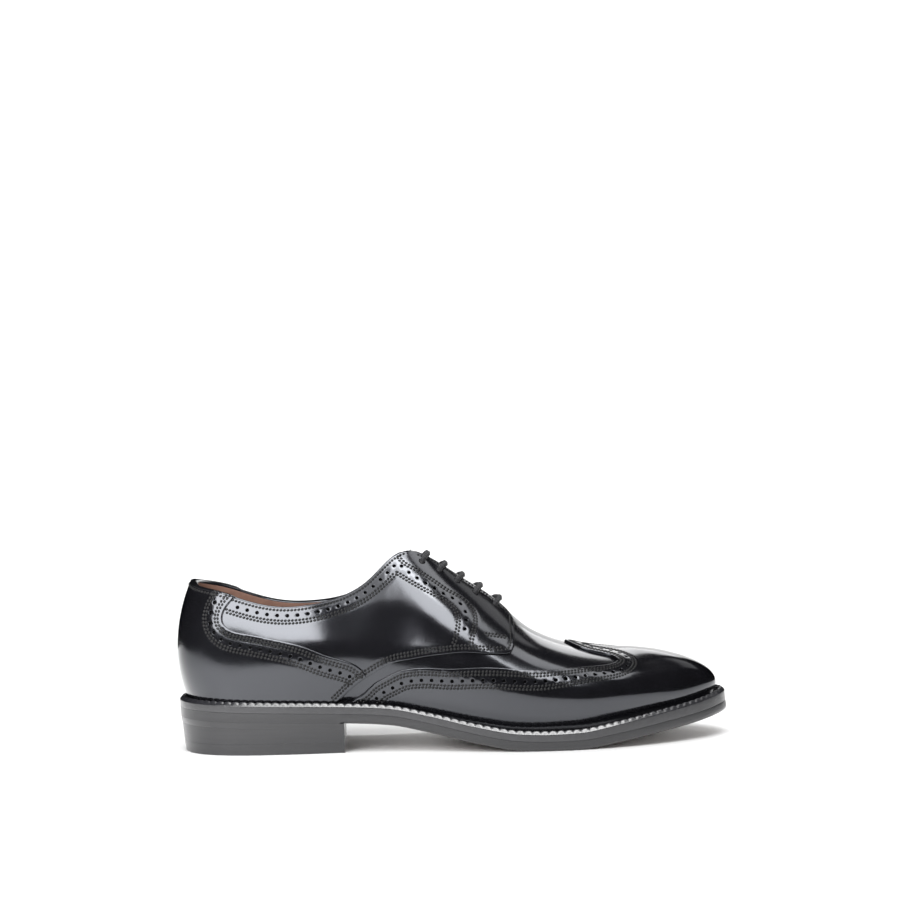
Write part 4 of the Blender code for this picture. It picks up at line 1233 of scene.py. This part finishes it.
CALF = polished_calf()
TAN = tan_lining()
EDGE = inked_edge()
WELTING = wheeled_welt()
THREAD = waxed_thread()
CORD = lace_cotton()
TREAD = tread_leather()
# Near-black matt finish that paints the shade inside the punched holes
HOLE_SHADE = hole_shade_finish()


# Pieces

# Heights of the rounds of painted shade behind the punched holes, just over the leather below
OVER_VAMP = VAMP[1] + 0.04
OVER_QUARTER = QUARTER[1] + 0.01

# Faces of the outsole that look down at least this squarely are its tread
TREAD_FACING = -0.97


def shown(name, vertices, faces, finish):
    """A smooth mesh of one finish, in the scene."""
    mesh = bpy.data.meshes.new(name)
    mesh.from_pydata(vertices, [], faces)
    mesh.materials.append(finish)
    mesh.shade_smooth()
    made = bpy.data.objects.new(name, mesh)
    bpy.context.scene.collection.objects.link(made)
    return made


def add_piece(name, shape, finish, stands_for=(), sharp=None):
    """A piece of the shoe, riding on its one body."""
    vertices, faces = shape
    piece = shown(name, vertices * MM, faces, finish)
    if sharp:
        piece.data.set_sharp_from_angle(angle=np.radians(sharp))
    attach(piece, "root")
    if stands_for:
        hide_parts(*stands_for)
    return piece


def add_bottom():
    outsole = add_piece("outsole_leather", outsole_mesh(), EDGE, ["outsole"], sharp=35)
    outsole.data.materials.append(TREAD)
    for face in outsole.data.polygons:
        if face.normal.z < TREAD_FACING:
            face.material_index = 1
    add_piece("welt_leather", welt_mesh(), WELTING, ["welt"], sharp=50)
    add_piece("welt_thread", welt_thread_mesh(), THREAD)
    for name, shape in heel_pieces():
        add_piece(name + "_leather", shape, EDGE, [name], sharp=35)
    add_piece("insole_sock", sock_mesh(), TAN, ["insole"], sharp=40)


def add_upper():
    vamp = whole_sheet(upper_outline(BACKING_STEP, 0.0), step=BACKING_STEP)
    add_piece("vamp_leather", leather(vamp, VAMP), CALF, ["upper"])
    inside = whole_sheet(upper_outline(LINING_STEP, LINING_FOOT), step=LINING_STEP)
    add_piece("collar_lining", leather(inside, LINING), TAN)
    add_piece("collar_roll", collar_roll_mesh(), CALF)


def add_sewn(name, sheet, layer, rows, centres, under, sides=(-1, 1), more_rows=()):
    """A leather with its sunk seams, the rounds of painted shade behind its punched holes and its thread."""
    add_piece(name + "_leather", leather(sheet, layer, seam_relief(rows, sides)), CALF, [name])
    # Near-black matt rounds in the punched holes: painted shade
    add_piece(name + "_underlay", hole_shade_mesh(centres, under, sides), HOLE_SHADE)
    add_piece(name + "_thread", sewn(rows + list(more_rows), layer[1] - STITCH_SINK, sides), THREAD)


def edge_rows(edge, way):
    """The four seams beside an edge and the punched row between them, to the left (1) or the right (-1)."""
    rows = [shifted(edge, way * distance) for distance in EDGE_ROWS + LOW_ROWS]
    return rows, spaced(shifted(edge, way * PUNCH_ROW), PUNCH_PITCH, start=PUNCH_START)


def add_wing():
    rows, centres = edge_rows(smooth_edge(WING_EDGE), -1)
    sheet = whole_sheet(wing_outline(), punched(centres, PUNCH_LOOP))
    add_sewn("wing_cap", sheet, WING, rows, centres, OVER_VAMP)


def add_foxing():
    rows, centres = edge_rows(smooth_edge(FOXING_TOP), 1)
    front = smooth_edge(FOXING_FRONT)
    rows += [shifted(front, distance) for distance in EDGE_ROWS]
    sheet = whole_sheet(foxing_outline(), punched(centres, PUNCH_LOOP))
    top = shifted(smooth_edge(FOXING_COLLAR_SEAM), -TOPLINE_ROW)
    add_sewn("heel_foxing", sheet, FOXING, rows, centres, OVER_QUARTER, more_rows=[top])


def quarter_rows():
    """Every seam of a quarter, and the line of its punched holes."""
    bottom = smooth_edge(QUARTER_FRONT)
    tab = smooth_edge(QUARTER_TAB)
    facing = smooth_edge(QUARTER_FACING + (QUARTER_THROAT,))
    under = shifted(straight_edge(*COLLAR_LOW_SEAM), -sum(TOPLINE_LOW_ROWS) / 2)
    corner = smooth_edge((tuple(under[-COLLAR_TURN]), COLLAR_CORNER))
    under = np.concatenate([under[:-COLLAR_TURN], corner[1:]])
    rows = [shifted(straight_edge(*COLLAR_SEAM), -TOPLINE_ROW)]
    rows += [shifted(bottom, distance) for distance in EDGE_ROWS]
    rows += [shifted(tab, TAB_ROW), shifted(facing, FACING_ROW)]
    for line in (under, smooth_edge(FACING_INNER), smooth_edge(FACING_OUTER), straight_edge(*TACK)):
        rows += double(line)
    return rows, [shifted(straight_edge(*COLLAR_PUNCH), -TOPLINE_PUNCH_ROW), smooth_edge(FACING_PUNCH)]


def add_quarters():
    rows, punch_lines = quarter_rows()
    centres = np.concatenate([spaced(line, PUNCH_PITCH) for line in punch_lines])
    holes = punched(centres, PUNCH_LOOP)
    holes += punched(np.array(EYELETS), EYELET_RADIUS + RUBBED_EDGE[-1].out, EYELET_SIDES)
    for side, name in ((-1, "quarter_lateral"), (1, "quarter_medial")):
        sheet = side_sheet(quarter_outline(), side, holes)
        add_sewn(name, sheet, QUARTER, rows, centres, OVER_VAMP, (side,))


def add_lacing():
    half = TONGUE_LEATHER / 2
    add_piece("tongue_leather", leather(tongue_sheet(), (-half, half)), CALF, ["tongue"])
    for number, eyelet in enumerate(EYELETS, 1):
        name = f"lace_bar_{number}"
        add_piece(name + "_cord", lace_mesh(eyelet), CORD, [name])


# Camera, floor and light

# Camera: place, lens and sensor in millimetres, turn and roll in degrees, nearest sight in metres
CAMERA_PLACE = (-41.8, -999.1, 163.0)
CAMERA_YAW = 2.5
CAMERA_ROLL = 1.5
CAMERA_LENS = 71.0
CAMERA_SENSOR = 36.0
CAMERA_NEAR = 0.05


def stand(thing, right, top, back, place):
    """Sets a camera or a light at a place in metres, looking the other way than back."""
    matrix = np.eye(4)
    matrix[:3] = np.column_stack([right, top, back, place])
    thing.matrix_world = Matrix(matrix.tolist())
    bpy.context.scene.collection.objects.link(thing)


def add_camera():
    """A level camera at the outer side, turned and rolled a little."""
    yaw = np.radians(CAMERA_YAW)
    roll = np.radians(CAMERA_ROLL)
    forward = np.array([np.sin(yaw), np.cos(yaw), 0.0])
    level = np.array([np.cos(yaw), -np.sin(yaw), 0.0])
    up = np.array([0.0, 0.0, 1.0])
    right = level * np.cos(roll) - up * np.sin(roll)
    top = level * np.sin(roll) + up * np.cos(roll)
    data = bpy.data.cameras.new("camera")
    data.lens = CAMERA_LENS
    data.sensor_width = CAMERA_SENSOR
    data.clip_start = CAMERA_NEAR
    camera = bpy.data.objects.new("camera", data)
    stand(camera, right, top, -forward, np.array(CAMERA_PLACE) * MM)
    bpy.context.scene.camera = camera


# Table and the sheet behind it, in metres
TABLE_FRONT = -0.40
TABLE_BACK = 0.50
TABLE_BEND = 0.55
SWEEP_RADIUS = 0.45
SWEEP_TOP = 1.35
SWEEP_HALF = 0.85
SWEEP_FACETS = 25


def add_sheet(name, profile, finish):
    """A plain sheet across the table, following a line of (y, z) points."""
    vertices = [(x, y, z) for y, z in profile for x in (-SWEEP_HALF, SWEEP_HALF)]
    faces = [(2 * k, 2 * k + 1, 2 * k + 3, 2 * k + 2) for k in range(len(profile) - 1)]
    sheet = shown(name, vertices, faces, finish)
    return sheet


def add_floor():
    """A plain white table under the shoe and a white sheet that sweeps up behind it."""
    made = new_finish("white_sheet", 400.0, "#e7e7e7", "#eaeaea", Roughness=0.35, IOR=1.3)[0]
    add_sheet("floor", [(TABLE_FRONT, 0.0), (TABLE_BACK, 0.0)], made)
    turn = np.linspace(0.0, np.pi / 2, SWEEP_FACETS)
    profile = [(TABLE_BACK, 0.0)]
    profile += [(TABLE_BEND + SWEEP_RADIUS * np.sin(t), SWEEP_RADIUS * (1 - np.cos(t))) for t in turn]
    profile.append((TABLE_BEND + SWEEP_RADIUS, SWEEP_TOP))
    backdrop = add_sheet("backdrop", profile, made)
    # The polish doesn't mirror the backdrop, as if black flags stood beside a real set
    backdrop.visible_glossy = False


# Soft boxes, in metres and watts; one that isn't in the polish gives light but no highlight
Box = namedtuple("Box", "name place aim wide high power in_polish")
LIGHTS = (
    Box("softbox_side", (-0.269, -0.285, 0.234), (-0.269, -0.035, 0.116), 0.322, 0.213, 1.8, True),
    Box("softbox_high", (0.225, -0.645, 1.18), (0.225, -0.04, 0.08), 0.49, 0.60, 6.4, True),
    Box("softbox_left", (-0.32, -0.645, 1.18), (-0.32, -0.04, 0.08), 0.60, 0.60, 1.9, True),
    Box("softbox_right", (0.57, 0.05, 1.15), (0.0, -0.02, 0.06), 0.44, 0.28, 0.85, True),
    Box("softbox_top", (0.0, -0.35, 1.45), (0.0, -0.35, 0.0), 0.91, 0.46, 8.6, True),
    Box("softbox_back", (0.755, 0.53, 0.835), (0.02, -0.02, 0.07), 0.50, 0.26, 0.17, True),
    Box("softbox_rear", (0.29, 0.95, 0.60), (0.06, 0.0, 0.05), 0.44, 0.34, 0.88, True),
    Box("softbox_low", (0.22, 0.95, 0.24), (0.06, 0.0, 0.05), 0.48, 0.40, 0.58, True),
    Box("front_fill", (0.0, -1.25, 0.24), (0.0, 0.0, 0.0), 1.2, 0.4, 8.0, False),
    Box("backdrop_wash", (0.0, 0.45, 1.3), (0.0, 1.0, 0.35), 1.4, 0.3, 14.0, False),
)
ROOM_LIGHT = 0.34


def add_lights():
    for box in LIGHTS:
        data = bpy.data.lights.new(box.name, "AREA")
        data.shape = "RECTANGLE"
        data.size = box.wide
        data.size_y = box.high
        data.energy = box.power
        light = bpy.data.objects.new(box.name, data)
        back = unit(np.array(box.place) - np.array(box.aim))
        side = unit(np.cross((0.0, 0.0, 1.0), back) if abs(back[2]) < 0.99 else np.array([1.0, 0.0, 0.0]))
        light.visible_camera = False
        light.visible_glossy = box.in_polish
        stand(light, side, np.cross(back, side), back, box.place)
    world = bpy.data.worlds.new("studio")
    bpy.context.scene.world = world
    world.use_nodes = True
    sky = world.node_tree.nodes["Background"]
    sky.inputs["Color"].default_value = (1.0, 1.0, 1.0, 1.0)
    sky.inputs["Strength"].default_value = ROOM_LIGHT
    world.cycles_visibility.glossy = False
    bpy.context.scene.view_settings.view_transform = "Standard"


add_camera()
add_bottom()
add_upper()
add_wing()
add_foxing()
add_quarters()
add_lacing()
add_floor()
add_lights()
